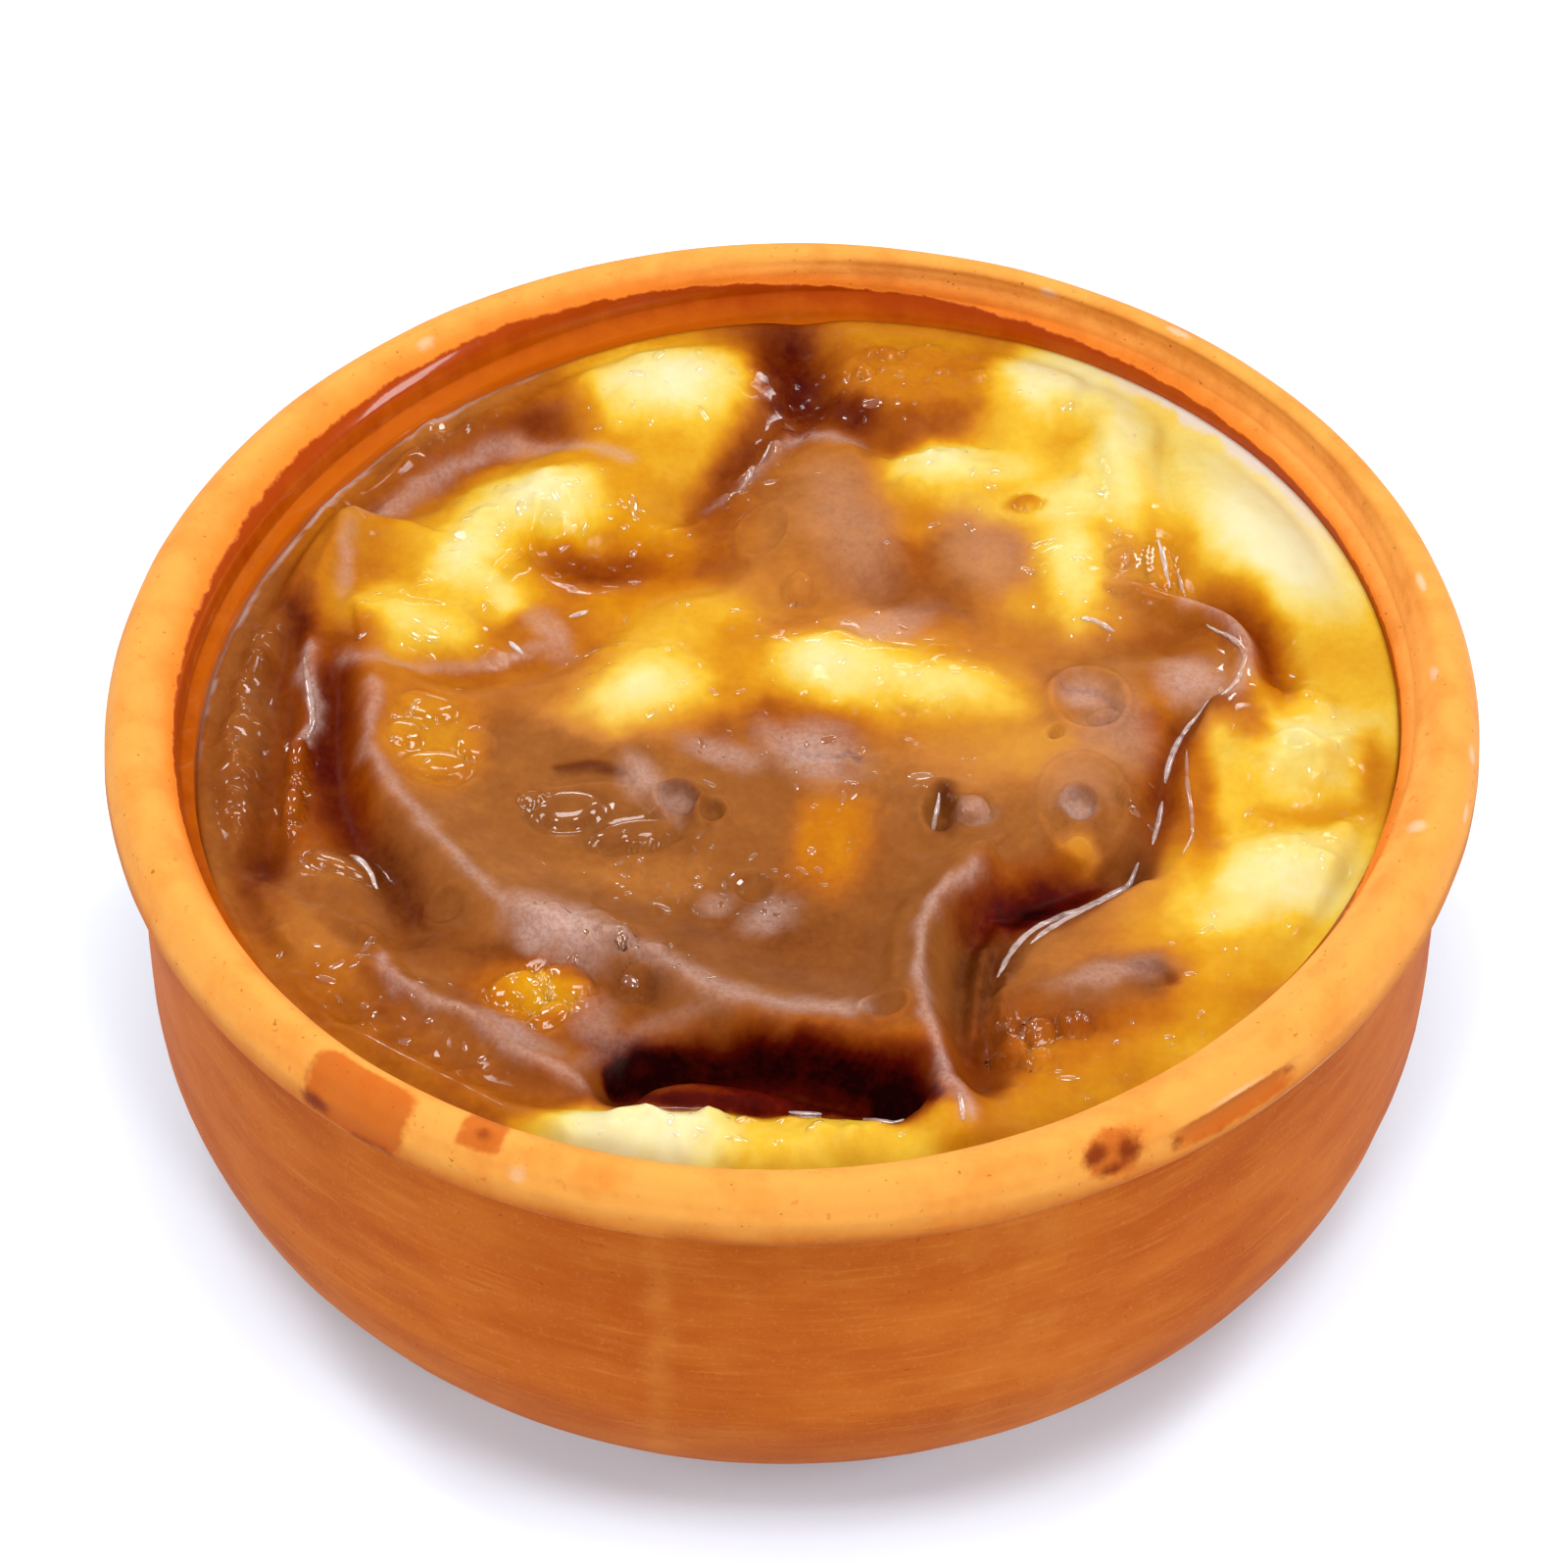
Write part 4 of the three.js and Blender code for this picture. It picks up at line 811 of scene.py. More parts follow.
# Browning runs from 0, pale cream, to 1, nearly black. Patches are laid one over another in this order:
# ellipse, browning, and how soft the edge is (1 is very soft).
brownPatches = {
    "rightSide": (48, -8, 13.5, 26, 4, 0.35, 0.25), "farRight": (31, 35, 16, 14, -40, 0.30, 0.35),
    "rightBend": (45, 9, 6, 9, 10, 0.38, 0.45), "leftSide": (-42, 20, 11, 20, 30, 0.64, 0.5),
    "leftBand": (-48.5, -4, 4, 32, 0, 0.74, 0.4), "leftBandLow": (-42, -25, 12, 4, -58, 0.68, 0.5),
    "farLeft": (-28, 36, 15, 6, 42, 0.66, 0.5), "frontLeft": (-32, -35, 14, 5.5, -42, 0.68, 0.5),
    "frontRight": (26, -37, 15, 7, 28, 0.58, 0.5), "frontRightBrown": (23.5, -27, 9, 7.5, 15, 0.66, 0.5),
    "farAmber": (10.5, 45, 8, 8.5, 0, 0.60, 0.35), "farAmberTop": (11, 49.6, 8, 1.6, -8, 0.50, 0.7),
    "farCreamHalo": (-11, 41.5, 9, 8, 10, 0.42, 0.5), "farCreamYellow": (-11.6, 42.5, 6.5, 5.4, 8, 0.28, 0.7),
    "farCream": (-11.6, 43.4, 4.8, 3.6, 8, 0.04, 0.95), "farCreamFoot": (-11, 33.5, 5, 4.5, 20, 0.42, 0.8),
    "farRightCream": (23.4, 43.6, 4.8, 4.6, -30, 0.05, 0.7), "farRidge": (27.6, 38.5, 9, 3.6, -68, 0.10, 0.7),
    "columnCream": (29, 31, 6, 3, -80, 0.14, 0.8), "wallYellow": (35, 24, 4, 10, 12, 0.36, 0.5),
    "wallCream": (41, 26.5, 13, 4.8, -58, 0.10, 0.6),
    "wallCreamPale": (42, 22, 7, 4.2, -65, 0.03, 0.7), "paleGroove": (32.8, 33, 6.5, 1.1, 88, 0.24, 0.8),
    "farDimple": (24.3, 36.8, 3.6, 2.4, 75, 0.40, 0.8), "farDimpleLeft": (19, 38.5, 2.6, 2, 0, 0.36, 0.8),
    "middleYellow": (14, 31.5, 7.5, 5.5, 0, 0.34, 0.5), "middleCream": (13, 33, 4.6, 3, 12, 0.12, 0.8),
    "middleCreamRight": (19, 33, 3, 2, 0, 0.22, 0.8), "middleFoot": (17, 28, 5, 2.2, 0, 0.36, 0.7),
    "innerYellow": (24, 21.5, 10.5, 4.6, -88, 0.38, 0.6), "amberFoot": (19.4, 15, 3, 3, 0, 0.46, 0.8),
    "innerCream": (24, 21, 7.5, 1.8, -88, 0.18, 0.9), "innerTop": (24, 28.5, 4, 2.6, 0, 0.16, 0.8),
    "orangeSpot": (20.5, 28.2, 1.5, 1.1, 20, 0.55, 0.6), "amberHollow": (10, 26.2, 3, 2.4, 0, 0.56, 0.6),
    "pinkPatch": (16.4, 21.2, 3.2, 5, 8, 0.64, 0.6), "pocketSkin": (28.8, 19, 1.7, 4.6, 0, 0.54, 0.8),
    "amberPocket": (32, 20.5, 2.6, 5.4, 0, 0.50, 0.6), "pocketFoot": (33, 14.8, 5, 2.4, -20, 0.66, 0.7),
    "pocketSide": (36.8, 13.5, 1.8, 4.6, 12, 0.76, 0.8), "leftGold": (-26, 23, 13, 9, 48, 0.48, 0.5),
    "leftCreamHalo": (-24.5, 24, 9.5, 6.4, 50, 0.34, 0.6), "leftCream": (-23.2, 27.2, 5, 3.2, 15, 0.08, 0.95),
    "leftCreamFoot": (-28.8, 19.8, 4.8, 2.0, 82, 0.10, 0.95), "leftCreamEnd": (-26, 15, 3, 1.6, -35, 0.18, 0.9),
    "leftCrest": (-22, 33.4, 6.5, 2, 15, 0.46, 0.8), "leftYellow": (-33, 11.8, 7, 4.2, -15, 0.38, 0.6),
    "leftYellowPale": (-32, 11.2, 4.2, 2.2, -18, 0.25, 0.9), "leftYellowTop": (-35.5, 15, 2.6, 2, 0, 0.34, 0.8),
    "leftFlank": (-37.6, 19.5, 2.6, 4.5, 0, 0.58, 0.6), "dimpleSide": (-12.5, 26.5, 3.4, 5.5, 12, 0.47, 0.7),
    "brownDimple": (-17.4, 19.8, 5.4, 3.2, -4, 0.70, 0.7), "dimpleCore": (-16.8, 20, 3.2, 1.8, 0, 0.77, 0.9),
    "dimpleFoot": (-17, 15.6, 3.6, 2.2, 0, 0.60, 0.8), "leftShelf": (-22, 11, 3, 2.4, 0, 0.62, 0.7),
    "tongueTop": (2.5, 33, 4.5, 4.5, 0, 0.66, 0.5), "tongueLow": (1, 23, 7, 7, 0, 0.66, 0.5),
    "tongueFoot": (-4, 16.5, 7, 3, 0, 0.60, 0.6), "farValleyBank": (-5.6, 34, 7.5, 2, 66, 0.80, 0.8),
    "farValley": (-0.8, 46, 6.5, 2.8, 95, 0.90, 0.8), "farValleyRight": (5, 40.2, 4.6, 1.7, -38, 0.86, 0.8),
    "farAmberLow": (11.5, 38.8, 5, 1.6, 8, 0.74, 0.8), "centreGlow": (-9.8, 12.8, 7.4, 5, 10, 0.42, 0.6),
    "centreLeftGold": (-12.6, 4.6, 7.4, 5.4, 15, 0.36, 0.5), "centreLeft": (-13.4, 3.8, 4.2, 3, 20, 0.11, 0.95),
    "centreGap": (-4.6, 6, 1.6, 4.5, 0, 0.54, 0.8), "centreTop": (6, 13, 8, 3.2, -25, 0.60, 0.6),
    "centreSide": (18, 10.5, 5, 3, -20, 0.58, 0.7), "centreRightGold": (8.8, 5.4, 11.5, 5, -14, 0.38, 0.5),
    "centreRight": (2.6, 6.6, 4.2, 3, -20, 0.08, 0.9), "centreArm": (12, 4.2, 6.5, 1.9, -8, 0.20, 0.9),
    "centreLow": (15, -4.5, 8, 3, -10, 0.62, 0.8), "sheetLeft": (-27, 5, 9, 3, 5, 0.64, 0.7),
    "sheetLow": (0, -25, 16, 9, 0, 0.79, 0.7), "amberBumps": (-30, -2, 3.8, 5.6, 8, 0.54, 0.6),
    "amberWindow": (3.2, -12.5, 3.2, 5.6, -6, 0.57, 0.6), "pebbles": (-12, -16.5, 6, 2.4, 0, 0.66, 0.7),
    "ringFoot": (23.4, -14.2, 1.6, 1.4, 0, 0.50, 0.7), "sheetRight": (18, -1.6, 7, 3.2, -10, 0.53, 0.8),
    "rightUpperGold": (42.5, -2, 8.5, 6, 35, 0.27, 0.8),
    "rightUpper": (43, -2, 6, 2.8, 30, 0.14, 0.95), "rightMiddle": (37, -8, 3, 6, 0, 0.33, 0.7),
    "rightLowerGold": (38.5, -18.5, 9.5, 6.6, 25, 0.27, 0.8),
    "rightLower": (39.5, -18, 6.2, 3.6, 30, 0.11, 0.9),
    "rightFoot": (37, -26, 5.5, 2.4, 32, 0.40, 0.8), "rightWallBrown": (49, -6, 1.6, 5, 0, 0.52, 0.8),
    "rightGroove": (43, -9.4, 4.6, 1.2, 12, 0.47, 0.9), "creaseBank": (32.9, -5, 1.7, 11, 6, 0.66, 0.7),
    "cornerSheet": (29, 6.5, 8.5, 5, 0, 0.68, 0.4), "cornerHollow": (39.8, 10.4, 2.4, 6, 10, 0.80, 0.9),
    "cornerFoot": (37.5, 2, 1.8, 4.5, 15, 0.66, 0.8), "frontRightLobe": (26, -28.2, 5.5, 2.2, 14, 0.76, 0.5),
    "arcFoot": (15.4, -39.5, 2.6, 5.5, -8, 0.76, 0.7), "farLeftGap": (-21, 39, 2.6, 3.4, 0, 0.66, 0.8),
    "lobeSide": (-33.5, -28.5, 7.5, 3, -48, 0.74, 0.7),
    "lobeDark": (29.2, -28.4, 1.8, 1.0, 20, 0.79, 0.9), "frontRightLow": (21, -31.5, 6.5, 2.6, 12, 0.76, 0.7),
    "frontRightYellow": (32, -34, 6, 2.4, 38, 0.42, 0.8), "frontRightEdge": (22, -40.5, 8, 2.6, 22, 0.52, 0.7),
    "outerValley": (-43.8, 0, 2.2, 17, 0, 0.79, 0.9), "outerUpper": (-42.4, 12, 1.5, 2.6, 0, 0.87, 0.9),
    # The slope patch opening the next line: darker caramel with painted shade at the deepest part of the
    # sheet's steep left-facing slope.
    "slopeShadeCore": (-39.2, 3, 1.3, 3.2, 0, 0.88, 0.8), "leftHole": (-43.3, -16.4, 1.8, 2.6, -10, 0.84, 0.8),
    "lowSlope": (-29, -23.5, 4, 3, -50, 0.80, 0.7), "amberTrough": (-38, -27, 6, 2, -55, 0.64, 0.7),
    "crestBrown": (-23, -25.3, 3, 1.3, 0, 0.82, 0.7), "crinkles": (-11.5, -29.5, 2, 2.6, 30, 0.82, 0.7),
    "purpleLobe": (-14.4, -32.6, 2.2, 3.4, 15, 0.78, 0.6), "clusterEdge": (-20, -30, 6, 4.4, 0, 0.80, 0.6),
    "clusterGold": (-20, -30, 4, 3, 0, 0.56, 0.6), "clusterBright": (-19, -29.6, 2.4, 1.7, 0, 0.40, 0.8),
    "tentBrown": (-31, 33.5, 9, 3, 40, 0.72, 0.7), "tentDark": (-23.6, 38.4, 2.4, 1.6, 20, 0.82, 0.8),
    "darkValley": (20, -19, 6.6, 2.0, 28, 0.93, 0.8), "darkValleyLow": (15.6, -24, 1.9, 6, -6, 0.88, 0.7),
    # The pool and cavity patches on the next two lines: the undercut under the sheet's front edge, dark caramel
    # with painted shade over it.
    "channel": (14.3, -31.5, 1.8, 7.5, -4, 0.80, 0.7), "shadedPool": (-1, -41.4, 12.5, 1.8, -5, 0.93, 0.4),
    "cavityLip": (-1.5, -36.6, 13.6, 2.1, -9, 0.87, 0.3), "cavity": (-1, -38, 12.5, 2.2, -10, 0.93, 0.5),
    "frontCreamGold": (-4, -46, 17, 3.6, 0, 0.36, 0.35),
    "frontCream": (-11.5, -45.4, 7.5, 3.4, -3, 0.05, 0.6), "frontYellow": (4, -46.3, 7.5, 2.2, 2, 0.33, 0.7),
}

# Browning along a line: half width, browning, edge and route.
brownLines = {
    # The two slope lines: the sheet edge's steep left-facing slope, darker caramel with painted shade over it.
    "slopeShadeSoft": (2.6, 0.79, 0.8, [(-38.6, 9), (-38.6, 0), (-38, -6), (-36, -11.4), (-33, -16.4), (-30, -22)]),
    "slopeShade": (1.5, 0.87, 0.9, [(-39, 5.5), (-38.9, 0), (-38.3, -6), (-36.4, -11.2), (-33.4, -15.8),
                                    (-31, -20.4)]),
    "creaseShade": (1.3, 0.80, 0.9, [(36, 2.2), (32.4, -1), (31, -6), (29.9, -11), (28.2, -15.8)]),
    "creaseLow": (0.8, 0.82, 0.8, [(28, -16.4), (23.6, -20.2), (19, -23.2), (16.6, -28)]),
    # The lip line: the crease under the sheet's front lip, dark caramel with painted shade in it.
    "lipShadeLine": (0.7, 0.95, 0.4, [(-14, -36.8), (-12, -35.7), (-9, -35), (-3, -35.3), (2, -36.2), (7.5, -37.7),
                                 (10.4, -39.9), (11.4, -42.2)]),
    # The lip band: a lighter streak inside the dark undercut, a painted reflection.
    "lipReflection": (0.45, 0.84, 0.9, [(-12, -37.4), (-9, -36.1), (-4, -36.1), (1, -37), (6, -38.2)]),
    "crackUpper": (0.45, 0.86, 0.8, [(-19.5, -4.8), (-17, -4.2), (-14.5, -5)]),
    "ringShade": (0.5, 0.86, 0.8, [(-11, -7.2), (-9.2, -6.8), (-8, -8.2), (-8.6, -10)]),
    "orangeShade": (0.35, 0.78, 0.8, [(-7.4, -8.8), (-6, -8.8), (-5.6, -10), (-6.8, -10.8)]),
    "wetHoleShade": (0.9, 0.86, 0.8, [(12.6, -7.4), (13, -9.5), (12.6, -11.8)]),
    "craterShade": (0.4, 0.82, 0.8, [(22.8, -9), (24.2, -8.6), (25, -10), (24.4, -11.6), (23.1, -11.8),
                                     (22.3, -10.4), (22.8, -9)]),
    "upperRingShade": (0.4, 0.78, 0.8, [(23.2, 4.6), (25.4, 4.8), (27, 3), (26.6, 0.8)]),
    "lobeShade": (0.5, 0.86, 0.8, [(27.6, -27), (29.4, -26.8), (30.6, -28.2)]),
    "squiggles": (0.3, 0.86, 0.8, [(0.8, -2.6), (1.8, -3.3), (2.6, -2.8), (4.2, -3.4), (4.6, -2.6),
                                   (5.6, -3.6)]),
}

# Where the caramel is milky (1) and where it is clear (0), laid one over another: ellipse, share, edge.
cloudyPatches = {
    "sheet": (-2, -13, 33, 22, 0, 1.0, 0.2), "slope": (-38.4, -5, 3, 16, 8, 0.0, 0.5),
    "sheetRight": (24, 1, 12, 12, 0, 0.9, 0.4),
    "tongue": (2, 24, 6, 12, 0, 0.9, 0.5), "pinkPatch": (16.5, 22, 4.5, 6.5, 8, 0.9, 0.5),
    "farMiddle": (8, 14, 13, 6, -20, 0.7, 0.5), "leftFilm": (-37, -21, 6, 6, 0, 0.8, 0.5),
    "outerBand": (-47, 2, 3, 28, 0, 0.7, 0.5), "farLeftBand": (-34, 37, 14, 3, 43, 0.7, 0.5),
    "lobe": (-22, -32, 12, 6, -25, 0.8, 0.5), "frontRightLobe": (26, -28.2, 6, 2.6, 14, 0.9, 0.4),
    "pocketSkin": (28.3, 19.5, 2.2, 5.5, 0, 0.8, 0.5), "dimple": (-17.5, 20.5, 8, 5, 0, 0.0, 0.5),
    "cornerHollow": (40.4, 10, 2.8, 7, 10, 0.0, 0.5), "crease": (32, -6, 3, 12, 8, 0.1, 0.5),
    "amberWindow": (3.2, -12.5, 3.6, 6, -6, 0.1, 0.5), "amberBumps": (-30, -2, 4, 6, 8, 0.2, 0.5),
    "cluster": (-20, -30, 5, 4, 0, 0.0, 0.5), "centre": (2, 6, 18, 8, 0, 0.2, 0.5),
    "darkValley": (19.4, -18.5, 7, 3.4, 28, 0.0, 0.5), "cavity": (-1, -38, 14, 4, -8, 0.0, 0.4),
}

# Painted sheen on frosty skin, a pale colour standing in for the lamps' reflection, with grit bumps there too:
# ellipse, strength.
gritAndSheenPatches = {
    "frontCrest": (-18, -23.6, 5, 2.4, -25, 1.0), "lobeFront": (25.5, -28, 4.5, 1.4, 15, 0.5),
    "cornerSheet": (34, 5.6, 3.4, 3, -20, 0.7), "centrePatch": (1.5, -2.8, 4.6, 3, -15, 0.75),
    "belowGold": (-6, -3, 3.5, 1.6, -25, 0.55), "lowCentre": (-1.5, -21, 2.4, 1.8, 40, 0.6),
    "lowLeft": (-6.2, -19.6, 1.8, 1.2, 0, 0.4), "smoothCentre": (8, 12.5, 4, 2.5, 30, 0.5),
    "tongueSide": (4.5, 25, 3.4, 8, 14, 0.25), "pinkPatch": (16.8, 22, 3.2, 5, 10, 0.22),
    "shinyBall": (15, -9.8, 2, 1.6, 0, 0.5), "darkRing": (-9.8, -8.6, 1.8, 1.8, 0, 0.6),
    "lowerCrater": (23.8, -10.2, 1.4, 1.8, 0, 0.8), "ringLobe": (24, -7, 3.4, 3.6, 0, 0.15),
    "upperRing": (24.4, 4.2, 2.4, 2, 0, 0.6), "bubbleSide": (-12.6, -6, 1.8, 3, 30, 0.65),
    "belowLobe": (-22, -34.5, 4, 1.6, -35, 0.6), "purpleLobe": (-15, -32.6, 2, 3, 15, 0.35),
    "leftFlank": (-38.8, 19, 0.9, 4, 0, 0.5), "leftShelf": (-21, 11.5, 1.6, 3, 30, 0.5),
    "sheetRight": (27, 0, 3, 5, 0, 0.3),
}

# Painted sheen and grit along a line: half width, strength and route.
gritAndSheenLines = {
    "crest": (1.1, 0.6, [(-14, -25), (-9, -28), (-5, -30.6), (0, -32), (5, -32.6)]),
    "arc": (0.7, 0.65, [(15.5, -17), (11.6, -21), (10.1, -27), (10.6, -33), (12.3, -39), (13.4, -44)]),
    "frontEdge": (0.6, 0.2, [(-17, -38), (-14, -35), (-10.5, -32.6), (-5, -31.6)]),
    "lowerEdge": (0.6, 0.55, [(-33, -27), (-30.5, -30.5), (-26, -32.6), (-23.4, -35.4), (-19, -38),
                              (-16.4, -39.4)]),
    "creaseLeft": (0.6, 0.8, [(-41.6, 8.5), (-41.2, 5), (-40.8, 2), (-40.5, 0), (-40.8, -3)]),
    "ridgeLeft": (0.7, 0.5, [(-35.6, 3), (-35.2, -4), (-33.4, -8.5), (-30.2, -13.2), (-26.4, -18.2),
                             (-22, -22)]),
    "apex": (0.9, 0.6, [(-1.5, 36.4), (1, 38), (4.6, 36.8)]),
    "valleyBank": (0.8, 0.4, [(-2, 35), (-4.4, 31), (-7.8, 28)]),
    "leftCrest": (0.8, 0.55, [(-38, 25), (-34, 29), (-30, 33), (-26, 35.5), (-20, 35.5), (-15, 33)]),
    "belowYellow": (0.6, 0.4, [(-38, 7.5), (-31, 7), (-24.5, 8.5), (-20.5, 10.5)]),
    "cornerEdge": (0.7, 0.6, [(33.5, 14), (37, 12.2), (38.6, 9), (38.2, 5.6), (36.2, 2.8)]),
}

# Wet, syrupy skin: ellipse, strength.
wetPatches = {
    "frontPool": (-1, -42.4, 12, 1.4, -5, 0.8), "frontLeftPool": (-28, -37, 10, 3, -30, 0.5),
    "cluster": (-20, -30, 4.5, 4, 0, 0.9), "leftHollow": (-41.5, -7, 1.6, 7, 0, 1.0),
    "leftFilm": (-37, -16.5, 4, 2.4, -15, 1.0), "wetPair": (-17, -10.4, 6.5, 3.0, -5, 1.0),
    "amberBumps": (-29.5, -1.6, 4, 6, 0, 0.7), "amberWindow": (3.5, -13, 3.5, 6, 0, 0.5),
    "wetHole": (12.4, -9.6, 2.2, 3.6, 0, 0.35), "crumbs": (19.5, -34.5, 4.5, 3, 10, 0.5),
    "rightSide": (43, -8, 7, 24, 0, 0.35), "farValley": (-2, 36, 3, 13, -22, 0.6),
    "farBand": (6, 46, 26, 5, 0, 0.45), "farRight": (26, 28, 12, 14, 0, 0.4),
    "leftCreams": (-27, 19, 13, 15, 30, 0.45), "outerBand": (-46.5, 0, 3, 24, 0, 0.5),
    "farLeftBand": (-34, 35, 12, 4, 42, 0.6), "centre": (2, 7, 18, 8, 0, 0.4),
    "cornerFold": (37.5, 7, 2, 7, 0, 0.7), "pocket": (31.5, 20, 4, 6, 0, 0.7),
}

# Pale lines along the clay. At the far right is thin milk that dried white, partly painted glint. At the far
# left and left is a painted highlight on the skin's edge. Columns: bearing, spread in degrees, width and
# strength.
milkAndGlintEdges = {"farRight": (43, 16, 1.0, 0.8), "farLeft": (140, 20, 0.35, 0.6), "left": (168, 16, 0.3, 0.4)}

# The plain sheet's browning and milkiness, how far the patches' edges wander and in what cells, how strong
# the mottling is, and how much darker each millimetre of depth makes the skin, partly as syrup pooled in the
# hollows and partly as painted shade.
browning = {
    "sheet": 0.73, "cloudy": 0.2, "warp": 1.1, "warpCell": 5.0, "ragged": 0.45, "raggedCell": 1.3,
    "warpSeeds": (200, 220), "lineWarp": 0.3,
    "mottle": 0.04, "mottleCell": 2.6, "mottleSeed": 240, "depthShade": 0.02, "depthShadeRange": (-1.2, 2.5),
}

# The pale lines' ragged edge: share, cell and seed of each noise, and where the line is full and where it ends.
milkAndGlintRagged = [(0.7, 2.4, 250), (0.3, 0.9, 255)]
milkAndGlintFade = (0.6, 1.3)


# How pale the skin's edge is with dried milk and painted highlight: flat-topped Gaussians of the bearing,
# fading away from the wall.
def milkAndGlintShare(x, y):
    bearing = np.arctan2(y, x) / degrees
    inset = wallInset(x, y) + pudding["wallTouch"]
    ragged = 1 + sum(share * layeredNoise(x, y, cell, seed) for share, cell, seed in milkAndGlintRagged)
    total = np.zeros(x.shape)
    for middle, spread, wide, share in milkAndGlintEdges.values():
        along = np.exp(-(bearingGap(bearing, middle) / spread) ** 4)
        inward = 1 - smoothStep(milkAndGlintFade[0] * wide * ragged, milkAndGlintFade[1] * wide * ragged, inset)
        total = np.maximum(total, share * along * inward)
    return total


# Lays one value over another inside each ellipse, with soft edges.
def layPatches(value, x, y, patches):
    for patch in patches.values():
        level, edge = patch[5:]
        value = value + (level - value) * (1 - smoothStep(1 - edge, 1 + edge, ellipseDistance(x, y, patch)))
    return value


# The strongest of the patches' shares, each fading from inner to outer of its ellipse.
def strongest(x, y, patches, inner, outer):
    shares = [patch[5] * (1 - smoothStep(inner, outer, ellipseDistance(x, y, patch)))
              for patch in patches.values()]
    return np.max(shares, axis=0)


gritAndSheenFade = (0.2, 1.5)   # where a patch starts to fade and where it ends, as shares of its ellipse
wetFade = (0.5, 1.3)


# The skin's browning, grit and painted sheen, wetness, milk and painted highlight at the wall, and milkiness at
# x, y. The patches' edges wander by noise.
def skinFinish(x, y):
    warpX, warpY = [browning["warp"] * layeredNoise(x, y, browning["warpCell"], seed)
                    + browning["ragged"] * layeredNoise(x, y, browning["raggedCell"], seed + 10)
                    for seed in browning["warpSeeds"]]
    wx, wy = x + warpX, y + warpY
    brown = layPatches(np.full(x.shape, browning["sheet"]), wx, wy, brownPatches)
    lineX, lineY = x + browning["lineWarp"] * warpX, y + browning["lineWarp"] * warpY
    for wide, level, edge, route in brownLines.values():
        distance, _ = nearRoute(lineX, lineY, route, 3 * wide)
        brown = brown + (level - brown) * (1 - smoothStep(wide * (1 - edge), wide * (1 + edge), distance))
    # The deeper the skin lies below its swellings and folds, the darker it is painted: partly syrup pooled
    # there, partly painted shade.
    depthShade = -sum(swellingHeight(shape, x, y) for shape in swellings.values())
    depthShade = depthShade - sum(foldHeight(fold, x, y) for fold in folds.values())
    brown = brown + browning["mottle"] * layeredNoise(x, y, browning["mottleCell"], browning["mottleSeed"])
    brown = brown + browning["depthShade"] * np.clip(depthShade, *browning["depthShadeRange"])
    gritAndSheen = strongest(wx, wy, gritAndSheenPatches, *gritAndSheenFade)
    for wide, share, route in gritAndSheenLines.values():
        distance, _ = nearRoute(wx, wy, route, 3 * wide)
        gritAndSheen = np.maximum(gritAndSheen, share * np.exp(-(distance / wide) ** 2))
    cloudy = layPatches(np.full(x.shape, browning["cloudy"]), wx, wy, cloudyPatches)
    return {"browning": np.clip(brown, 0, 1), "gritAndSheen": gritAndSheen, "wet": strongest(wx, wy, wetPatches, *wetFade),
            "milkAndGlint": milkAndGlintShare(x, y), "cloudy": cloudy}


# A disk as a square grid bent round: the longer of the two steps gives the radius, the shorter the angle.
def diskGrid(cells):
    a, b = np.meshgrid(np.linspace(-1, 1, cells + 1), np.linspace(-1, 1, cells + 1))
    wide = np.abs(a) >= np.abs(b)
    safeA, safeB = np.where(a == 0, 1, a), np.where(b == 0, 1, b)
    radius = np.where(wide, a, b)
    angle = np.where(wide, math.pi / 4 * b / safeA, math.pi / 2 - math.pi / 4 * a / safeB)
    return radius * np.cos(angle), radius * np.sin(angle)


# The pudding: the skin on a bent grid, a side that touches the clay and a plain bottom.
def makePudding():
    cells = pudding["cells"]
    unitX, unitY = diskGrid(cells)
    angle = np.arctan2(unitY, unitX)
    nominal = np.hypot(unitX, unitY) * (pudding["fillRadius"] + pudding["wallTouch"])
    reach = nominal * (1 + insideOffset(angle, pudding["skinLevel"]) / pudding["fillRadius"])
    x, y = reach * np.cos(angle), reach * np.sin(angle)
    z = skinHeight(x, y)
    index = np.arange((cells + 1) ** 2).reshape(cells + 1, cells + 1)
    quads = [np.stack([index[:-1, :-1], index[:-1, 1:], index[1:, 1:], index[1:, :-1]], -1).reshape(-1, 4)]
    border = np.concatenate([index[0, :-1], index[:-1, -1], index[-1, :0:-1], index[:0:-1, 0]])
    points = [np.stack([x.ravel(), y.ravel(), z.ravel()], 1)]
    borderAngle = angle.ravel()[border]
    start = (cells + 1) ** 2
    ring = border
    for radius, height in pudding["side"]:
        out = radius * (1 + insideOffset(borderAngle, height) / pudding["fillRadius"])
        points.append(np.stack([out * np.cos(borderAngle), out * np.sin(borderAngle),
                                np.full(len(border), float(height))], 1))
        lower = start + np.arange(len(border))
        quads.append(np.stack([ring, lower, np.roll(lower, -1), np.roll(ring, -1)], -1))
        ring, start = lower, start + len(border)
    points.append(np.array([[0, 0, pudding["side"][-1][1]]]))
    fan = np.stack([np.full(len(ring), start), np.roll(ring, -1), ring], -1)
    points = np.vstack(points)
    faces = np.vstack(quads).tolist() + fan.tolist()
    piece = makePiece("bakedPudding", points, faces, skinFinish(points[:, 0], points[:, 1]))
    piece.data.materials.append(skinMaterial("caramelSkin"))
    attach(piece, "root")
    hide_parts("pudding")
    print("pudding shaped:", len(points), "points")


